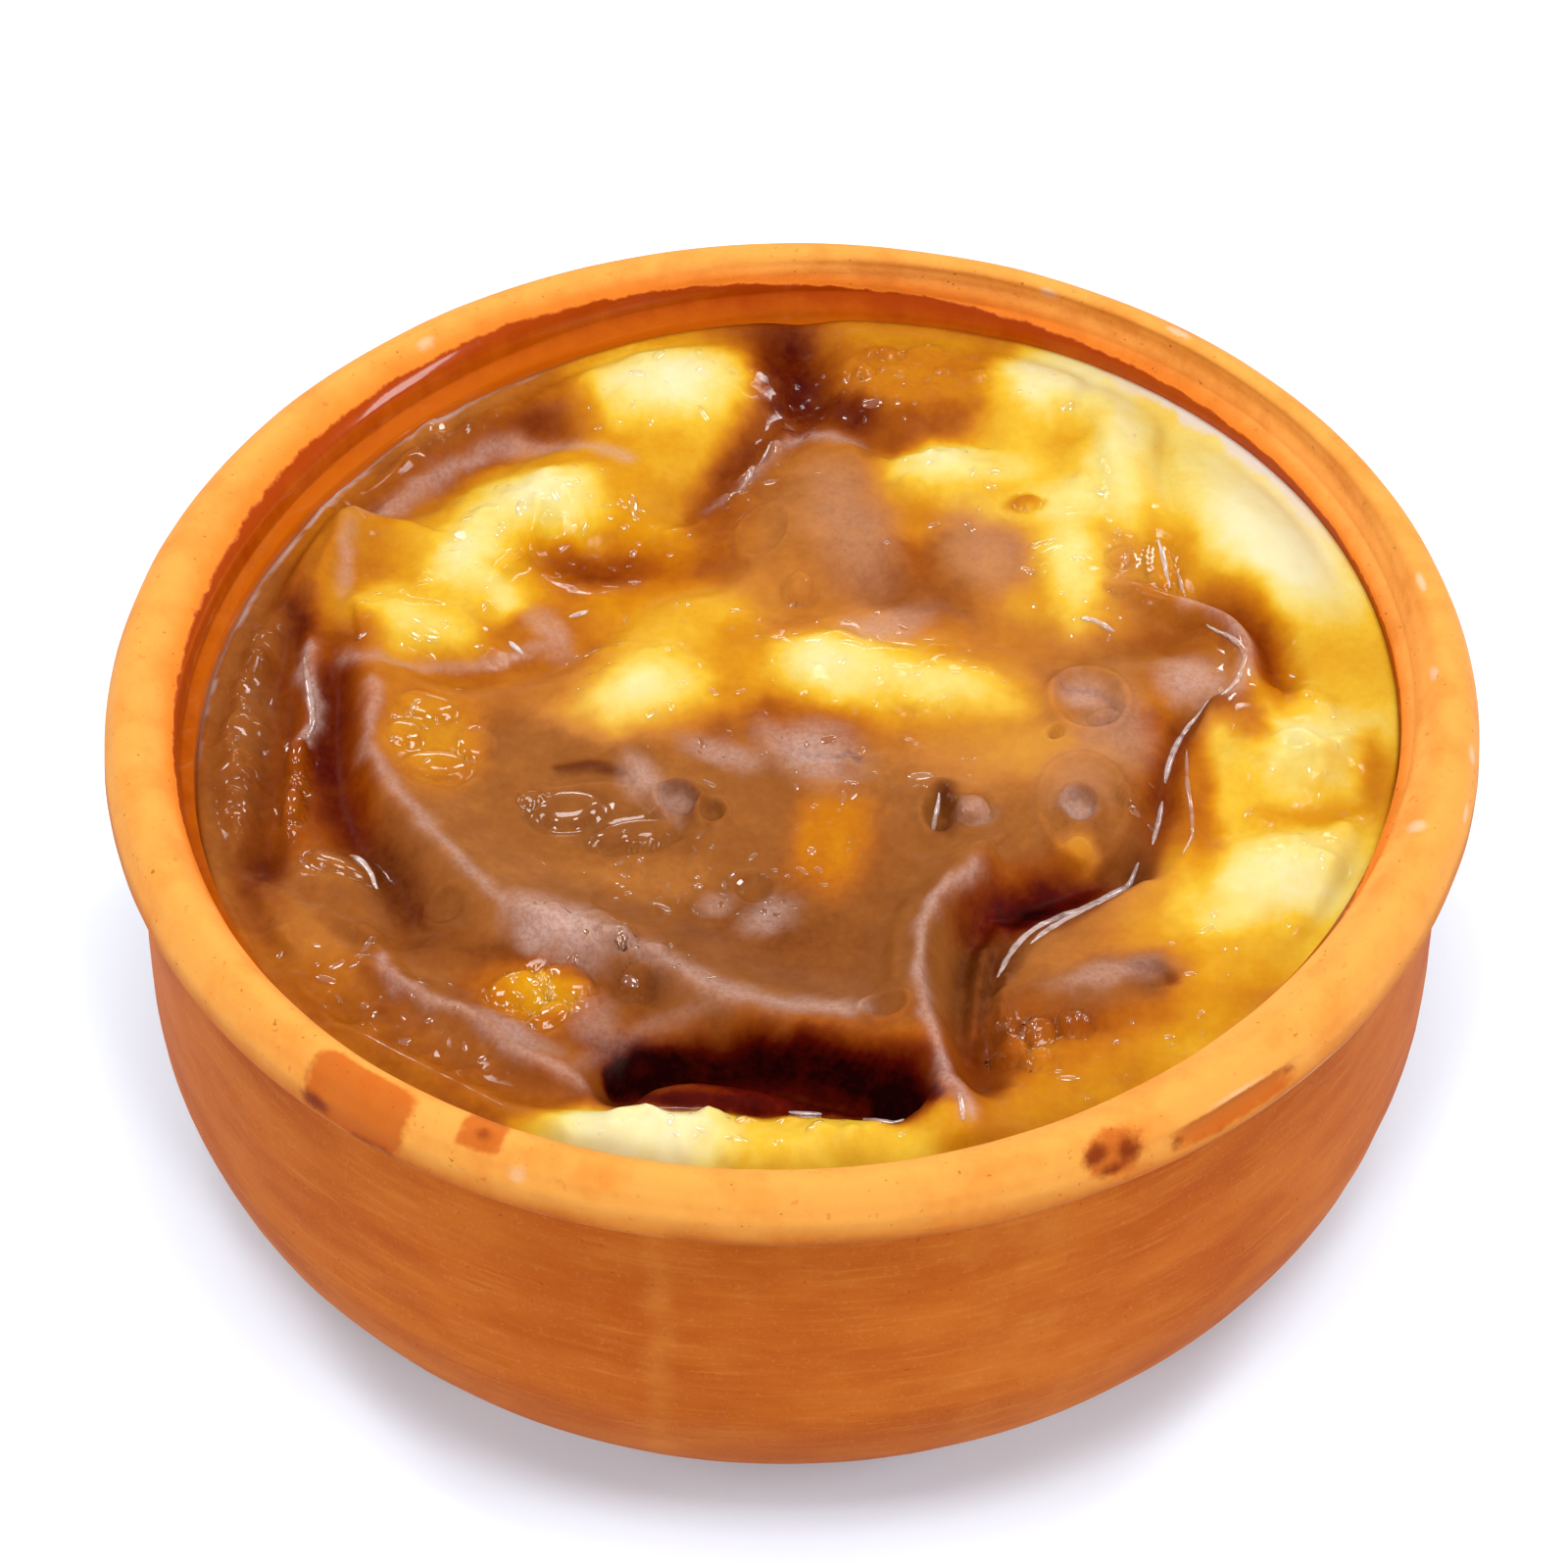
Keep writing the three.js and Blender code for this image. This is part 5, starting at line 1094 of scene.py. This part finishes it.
# The skin's colours from 0 to 255, by browning where they make a ramp, and its gloss.
skin = {
    "clear": [(0.0, (255, 246, 196)), (0.15, (253, 230, 132)), (0.30, (251, 201, 50)), (0.45, (232, 158, 16)),
              (0.60, (205, 118, 6)), (0.72, (172, 84, 3)), (0.82, (138, 56, 2)), (0.92, (96, 22, 1)),
              (1.0, (42, 4, 0))],
    "milky": [(0.0, (255, 246, 196)), (0.15, (253, 230, 132)), (0.30, (248, 200, 84)), (0.45, (228, 160, 62)),
              (0.60, (205, 130, 60)), (0.72, (167, 100, 46)), (0.82, (140, 78, 34)), (0.92, (92, 36, 10)),
              (1.0, (42, 4, 0))],
    # The painted sheen's colour and share stand in for the lamps' pale reflection on frosty skin.
    "paintedSheenColour": (220, 184, 172), "paintedSheenShare": 0.85, "milkAndGlintColour": (242, 230, 228),
    "dryRoughness": 0.42, "wetRoughness": 0.16, "specular": 0.03, "wetCoat": 0.9, "coatRoughness": 0.04,
    "subsurface": 0.2, "subsurfaceRadius": (1.0, 0.5, 0.2), "subsurfaceScale": 0.0018,
    # amount, lump size in mm, detail and roughness
    "fineMottle": (0.10, 0.7, 4, 0.65), "wideMottle": (0.09, 2.2, 3, 0.6), "wetEdge": (1.0, 1.6, 3, 0.6),
    # lump size in mm, detail and roughness, and how deep the bumps are in mm
    "sheenSpeckles": (0.45, 3, 0.7), "gritLumps": (0.22, 2, 0.6), "gritDeep": 0.05,
    "rippleLumps": (1.1, 3, 0.55), "rippleDeep": 0.22,
    # where one look starts and where it is full, and its share at each end
    "sheenSpeckleBand": (0.25, 0.7, 0.5, 1.1), "wetBand": (0.3, 0.75), "gritBand": (0, 1, 0.12, 0.9),
    "rippleBand": (0, 1, 0.08, 0.7),
}


# Caramel colour from the browning, between the clear and the milky kind.
def caramelColour(tree, tone):
    clear, milky = ramp(tree, tone, skin["clear"]), ramp(tree, tone, skin["milky"])
    return blend(tree, attribute(tree, "cloudy"), clear, milky)


# Caramelised milk skin: browning picks the colour, painted sheen pales it and grit roughens it where it is
# frosty, wet makes it shine.
def skinMaterial(name):
    material, tree, shader = newMaterial(name)
    gritAndSheen, wet = attribute(tree, "gritAndSheen"), attribute(tree, "wet")
    mottle = maths(tree, "ADD", wander(tree, *skin["fineMottle"]), wander(tree, *skin["wideMottle"]))
    tone = maths(tree, "ADD", attribute(tree, "browning"), mottle, clamp=True)
    sheenSpeckles = stepped(tree, lumps(tree, *skin["sheenSpeckles"]), *skin["sheenSpeckleBand"])
    # Where the skin is frosty, painted sheen pales its colour, speckled by lumps.
    paintedSheen = maths(tree, "MULTIPLY", maths(tree, "MULTIPLY", gritAndSheen, sheenSpeckles), skin["paintedSheenShare"])
    colour = blend(tree, paintedSheen, caramelColour(tree, tone), asLit(skin["paintedSheenColour"]))
    # The skin's edge at the wall is paled by dried milk, and on the left by a painted highlight.
    colour = blend(tree, attribute(tree, "milkAndGlint"), colour, asLit(skin["milkAndGlintColour"]))
    feed(tree, shader.inputs["Base Color"], colour)
    patchyWet = stepped(tree, maths(tree, "ADD", wet, wander(tree, *skin["wetEdge"])), *skin["wetBand"])
    feed(tree, shader.inputs["Roughness"],
         stepped(tree, patchyWet, 0, 1, skin["dryRoughness"], skin["wetRoughness"]))
    feed(tree, shader.inputs["Coat Weight"], maths(tree, "MULTIPLY", patchyWet, skin["wetCoat"]))
    for label, number in (("Specular IOR Level", "specular"), ("Coat Roughness", "coatRoughness"),
                          ("Subsurface Weight", "subsurface"), ("Subsurface Radius", "subsurfaceRadius"),
                          ("Subsurface Scale", "subsurfaceScale")):
        shader.inputs[label].default_value = skin[number]
    grit = bump(tree, lumps(tree, *skin["gritLumps"]), skin["gritDeep"],
                stepped(tree, gritAndSheen, *skin["gritBand"]))
    ripple = bump(tree, lumps(tree, *skin["rippleLumps"]), skin["rippleDeep"],
                  stepped(tree, wet, *skin["rippleBand"]), grit)
    feed(tree, shader.inputs["Normal"], ripple)
    return material


# Threads of thick syrup along the skin's creases: thickest radius, how much painted highlight pales them,
# route.
threads = {
    "around": 10, "steps": 9,              # sides, and steps from one of a route's points to the next
    # how deep the middle lies, the radius at the ends and its unevenness, as shares of the radius
    "sunk": 0.35, "endRadius": 0.12, "uneven": 0.25,
    "unevenSize": 0.76923, "seed": 300,
    "routes": {
        "holeGlint": (0.30, 1.0, [(12.2, -7.4), (11.8, -9.4), (11.5, -11.6)]),
        "creaseUpper": (0.34, 0.85, [(35, 2.2), (32.8, 0.2), (31.6, -3), (31.1, -5.4)]),
        "creaseMiddle": (0.26, 0.7, [(30.8, -7.4), (30.4, -9.6), (29.8, -12)]),
        "creaseLower": (0.42, 0.8, [(28.6, -13.4), (27.2, -15.8), (24.4, -18.4), (20.6, -21), (18.2, -23.6),
                                     (16.7, -26.6)]),
        "creaseBeside": (0.34, 0.7, [(27.8, -17), (24.8, -19.4), (21.4, -21.8), (19.4, -23.6)]),
        "besideCrease": (0.22, 0.3, [(33, -2.4), (32.8, -7), (33, -12), (32, -15)]),
        "cornerOuter": (0.30, 0.6, [(35.4, 12.2), (37.4, 10), (38.3, 7.4), (37.6, 4.6), (36, 2.2)]),
        "leftCrease": (0.34, 0.6, [(-41.8, 8), (-41.3, 5.2), (-40.8, 2.4), (-40.5, 0), (-40.8, -2)]),
        "filmStreak": (0.34, 1.0, [(-36.4, -14.4), (-35.2, -15.8), (-33.8, -18.4)]),
        "arcTip": (0.3, 0.9, [(13.2, -42.6), (13.4, -43.8), (13.5, -45)]),
        "poolA": (0.26, 0.8, [(0, -41.3), (1.2, -41.5), (2.6, -41.5)]),
        "poolB": (0.28, 0.8, [(5.8, -41.9), (7.5, -42.3), (9, -42.5)]),
        "besideColumn": (0.34, 0.7, [(24.6, 13), (26, 13), (27.6, 12.4)]),
        "leftGlint": (0.26, 1.0, [(-24.4, 10.2), (-23.2, 9.2)]),
        "shelfGlint": (0.3, 0.9, [(-19.4, 13.4), (-17.8, 14.4)]),
        "farBank": (0.30, 0.5, [(-2, 37), (-3.7, 33.4), (-4.6, 31), (-6, 29)]),
        "pocketStreakA": (0.24, 0.9, [(31.7, 23.4), (32.2, 20.8), (32.5, 17.6)]),
        "pocketStreakB": (0.18, 0.5, [(33, 22.4), (33.6, 20), (34, 17.6)]),
    },
}


# A thread: a circle carried along its route on the skin. Its radius swells from each end by the root of a
# sine, and wavers by lattice noise.
def makeThreads():
    points, faces, paintedGleams, start = [], [], [], 0
    around = threads["around"]
    turn = np.linspace(0, 2 * math.pi, around, endpoint=False)
    for radius, paintedGleam, route in threads["routes"].values():
        line = smoothRoute(route, threads["steps"])
        steps = len(line)
        heading = np.gradient(line, axis=0)
        heading = heading / np.hypot(heading[:, 0], heading[:, 1])[:, None]
        across = np.stack([-heading[:, 1], heading[:, 0]], 1)
        waver = latticeNoise(line[:, 0], line[:, 1], threads["unevenSize"], threads["seed"])
        swell = np.sqrt(np.sin(math.pi * np.linspace(0.02, 0.98, steps)))
        thick = radius * (threads["endRadius"] + (1 - threads["endRadius"]) * swell)
        thick = thick * (1 + threads["uneven"] * waver)
        level = skinHeight(line[:, 0], line[:, 1]) - threads["sunk"] * thick
        side = thick[:, None] * np.cos(turn)
        up = thick[:, None] * np.sin(turn) + level[:, None]
        tube = np.stack([line[:, :1] + across[:, :1] * side, line[:, 1:] + across[:, 1:] * side, up], -1)
        ends = np.array([[*line[0], level[0]], [*line[-1], level[-1]]])
        index = start + np.arange(steps * around).reshape(steps, around)
        after = np.roll(index, -1, axis=1)
        faces += np.stack([index[:-1], index[1:], after[1:], after[:-1]], -1).reshape(-1, 4).tolist()
        first, last = start + steps * around, start + steps * around + 1
        faces += np.stack([np.full(around, first), index[0], after[0]], -1).tolist()
        faces += np.stack([np.full(around, last), after[-1], index[-1]], -1).tolist()
        points.append(np.vstack([tube.reshape(-1, 3), ends]))
        paintedGleams.append(np.full(len(points[-1]), paintedGleam))
        start += len(points[-1])
    points = np.vstack(points)
    finish = {**skinFinish(points[:, 0], points[:, 1]), "paintedGleam": np.concatenate(paintedGleams)}
    piece = makePiece("syrupThreads", points, faces, finish)
    piece.data.materials.append(syrupMaterial("threadSyrup"))
    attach(piece, "root")
    print("syrup threads laid:", len(threads["routes"]))


# Beads of syrup on the skin. A patch has an ellipse, how many beads and their radius.
beads = {
    "rings": 3, "around": 8,               # rings and sides of a bead
    "rise": 0.45, "underside": -0.5,       # heights as shares of its half width
    "sunk": 0.10, "wallGap": 1.2,          # in mm
    "smallest": 0.45, "biggest": 0.9,      # radii run from this share up to 1, and a few are bigger by this
    "long": (1.0, 2.4), "wide": (0.7, 1.0),        # half length and half width, as shares of the radius
    "seed": 500,
    "patches": {
        "outerBand": (-47.2, 2, 21, 2, 90, 110, 0.34), "outerBandLow": (-41.5, -28, 11, 2.2, -52, 50, 0.34),
        "farLeft": (-33, 37.5, 11, 3, 42, 60, 0.40), "farCream": (-12, 42.5, 9, 6, 10, 40, 0.34),
        "farAmber": (10.5, 44, 7.5, 6, 0, 90, 0.30), "farValley": (-2, 37, 12, 3, 68, 30, 0.34),
        "leftCream": (-24, 24, 11, 7, 48, 60, 0.34), "dimple": (-16, 23, 7, 5, 0, 40, 0.38),
        "leftYellow": (-33, 13, 8, 5, -15, 40, 0.36), "leftSlope": (-39.6, -2, 12, 1.6, 90, 30, 0.26),
        "middleRight": (14, 31, 7, 6, 0, 46, 0.32), "farRight": (27, 36, 10, 5, -55, 24, 0.30),
        "column": (25, 20, 10, 5, 90, 50, 0.34), "centreLeft": (-11, 8, 9, 7, 20, 50, 0.36),
        "centreRight": (8, 7, 12, 6, -15, 70, 0.36), "tongue": (3, 22, 12, 6, 100, 30, 0.30),
        "centreLow": (3, -4, 16, 4, -4, 90, 0.32), "amberBumps": (-29.5, -1, 8, 4, 80, 26, 0.34),
        "pebbles": (-9, -16, 12, 4.5, -10, 90, 0.34), "amberWindow": (3.5, -13, 3.6, 6, 0, 30, 0.36),
        "cluster": (-20, -30, 4, 3, 0, 10, 0.50), "crest": (-14, -26, 9, 3, -28, 40, 0.34),
        "frontLeft": (-31, -31, 10, 4, -42, 50, 0.36), "frontCream": (-4, -45, 15, 2.2, 0, 40, 0.36),
        "crumbs": (19.5, -34.5, 5, 2.4, 10, 16, 0.50), "frontRight": (26, -37, 10, 4, 25, 40, 0.34),
        "rightSide": (42, -5, 15, 5.5, 90, 60, 0.34), "rightLower": (37, -23, 9, 5, 40, 36, 0.34),
        "crease": (30, -9, 9, 1.6, 76, 30, 0.24), "rings": (24, 0, 5, 6, 0, 20, 0.26),
    },
}


# A bead: an ellipse's dome on the skin down to its rim, closed by a flat underside inside the skin.
def makeBeads():
    places = []
    for seed, patch in enumerate(beads["patches"].values()):
        count, radius = patch[5:]
        draw = np.random.default_rng(beads["seed"] + seed)
        x, y = scatterPlaces(patch, count, draw)
        radius = radius * draw.uniform(beads["smallest"], 1.0, count)
        radius = radius * (1 + beads["biggest"] * draw.uniform(0, 1, count) ** 6)
        long, wide = radius * draw.uniform(*beads["long"], count), radius * draw.uniform(*beads["wide"], count)
        places.append(np.stack([x, y, long, wide, draw.uniform(0, math.pi, count)], 1))
    places = np.vstack(places)
    places = places[wallInset(places[:, 0], places[:, 1]) > beads["wallGap"] + places[:, 2]]
    lift = np.linspace(0, math.pi / 2, beads["rings"] + 1)[1:]
    turn = np.linspace(0, 2 * math.pi, beads["around"], endpoint=False)
    ringShare = np.concatenate([[0], np.repeat(np.sin(lift), beads["around"]), [0]])
    ringRise = np.concatenate([[1], np.repeat(np.cos(lift), beads["around"]), [beads["underside"]]])
    ringTurn = np.concatenate([[0], np.tile(turn, beads["rings"]), [0]])
    x0, y0, long, wide, heading = [places[:, k:k + 1] for k in range(5)]
    along, aside = long * ringShare * np.cos(ringTurn), wide * ringShare * np.sin(ringTurn)
    x = x0 + along * np.cos(heading) - aside * np.sin(heading)
    y = y0 + along * np.sin(heading) + aside * np.cos(heading)
    z = skinHeight(x, y) + wide * beads["rise"] * ringRise - beads["sunk"]
    points = np.stack([x, y, z], -1).reshape(-1, 3)
    count, each = len(places), len(ringShare)
    index = 1 + np.arange(beads["rings"] * beads["around"]).reshape(beads["rings"], beads["around"])
    after = np.roll(index, -1, axis=1)
    quads = np.stack([index[:-1], index[1:], after[1:], after[:-1]], -1).reshape(-1, 4)
    top = np.stack([np.zeros(beads["around"], int), index[0], after[0]], -1)
    bottom = np.stack([np.full(beads["around"], each - 1), after[-1], index[-1]], -1)
    offsets = (np.arange(count) * each)[:, None, None]
    faces = (quads[None] + offsets).reshape(-1, 4).tolist()
    for fan in (top, bottom):
        faces += (fan[None] + offsets).reshape(-1, 3).tolist()
    finish = skinFinish(np.repeat(places[:, 0], each), np.repeat(places[:, 1], each))
    finish["paintedGleam"] = np.full(len(points), syrup["beadPaintedGleam"])
    piece = makePiece("syrupBeads", points, faces, finish)
    piece.data.materials.append(syrupMaterial("beadSyrup"))
    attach(piece, "root")
    print("syrup beads set:", count)


syrup = {
    # The gleam colour is a painted highlight laid into the syrup's colour.
    "paintedGleamColour": (232, 208, 200), "beadPaintedGleam": 0.1,
    # lump size in mm, detail and roughness, and where the painted highlight starts and is full, with its share
    # there
    "paintedGleamLumps": (0.9, 2, 0.5), "paintedGleamBand": (0.3, 0.6, 0.4, 1), "rippleLumps": (0.8, 2, 0.5),
    "rippleDeep": 0.05, "rippleStrength": 0.4,
    "gloss": {"Roughness": 0.08, "Specular IOR Level": 0.4, "Coat Weight": 0.8, "Coat Roughness": 0.03},
}


# Thick clear syrup: the skin's colour under it, paled where a highlight is painted in, smooth and glossy.
def syrupMaterial(name):
    material, tree, shader = newMaterial(name)
    patchy = stepped(tree, lumps(tree, *syrup["paintedGleamLumps"]), *syrup["paintedGleamBand"])
    paintedGleam = maths(tree, "MULTIPLY", attribute(tree, "paintedGleam"), patchy)
    colour = caramelColour(tree, attribute(tree, "browning"))
    feed(tree, shader.inputs["Base Color"], blend(tree, paintedGleam, colour, asLit(syrup["paintedGleamColour"])))
    for label, number in syrup["gloss"].items():
        shader.inputs[label].default_value = number
    ripple = bump(tree, lumps(tree, *syrup["rippleLumps"]), syrup["rippleDeep"], syrup["rippleStrength"])
    feed(tree, shader.inputs["Normal"], ripple)
    return material


makeCamera()
makeStudio()
makeDish()
makePudding()
makeThreads()
makeBeads()
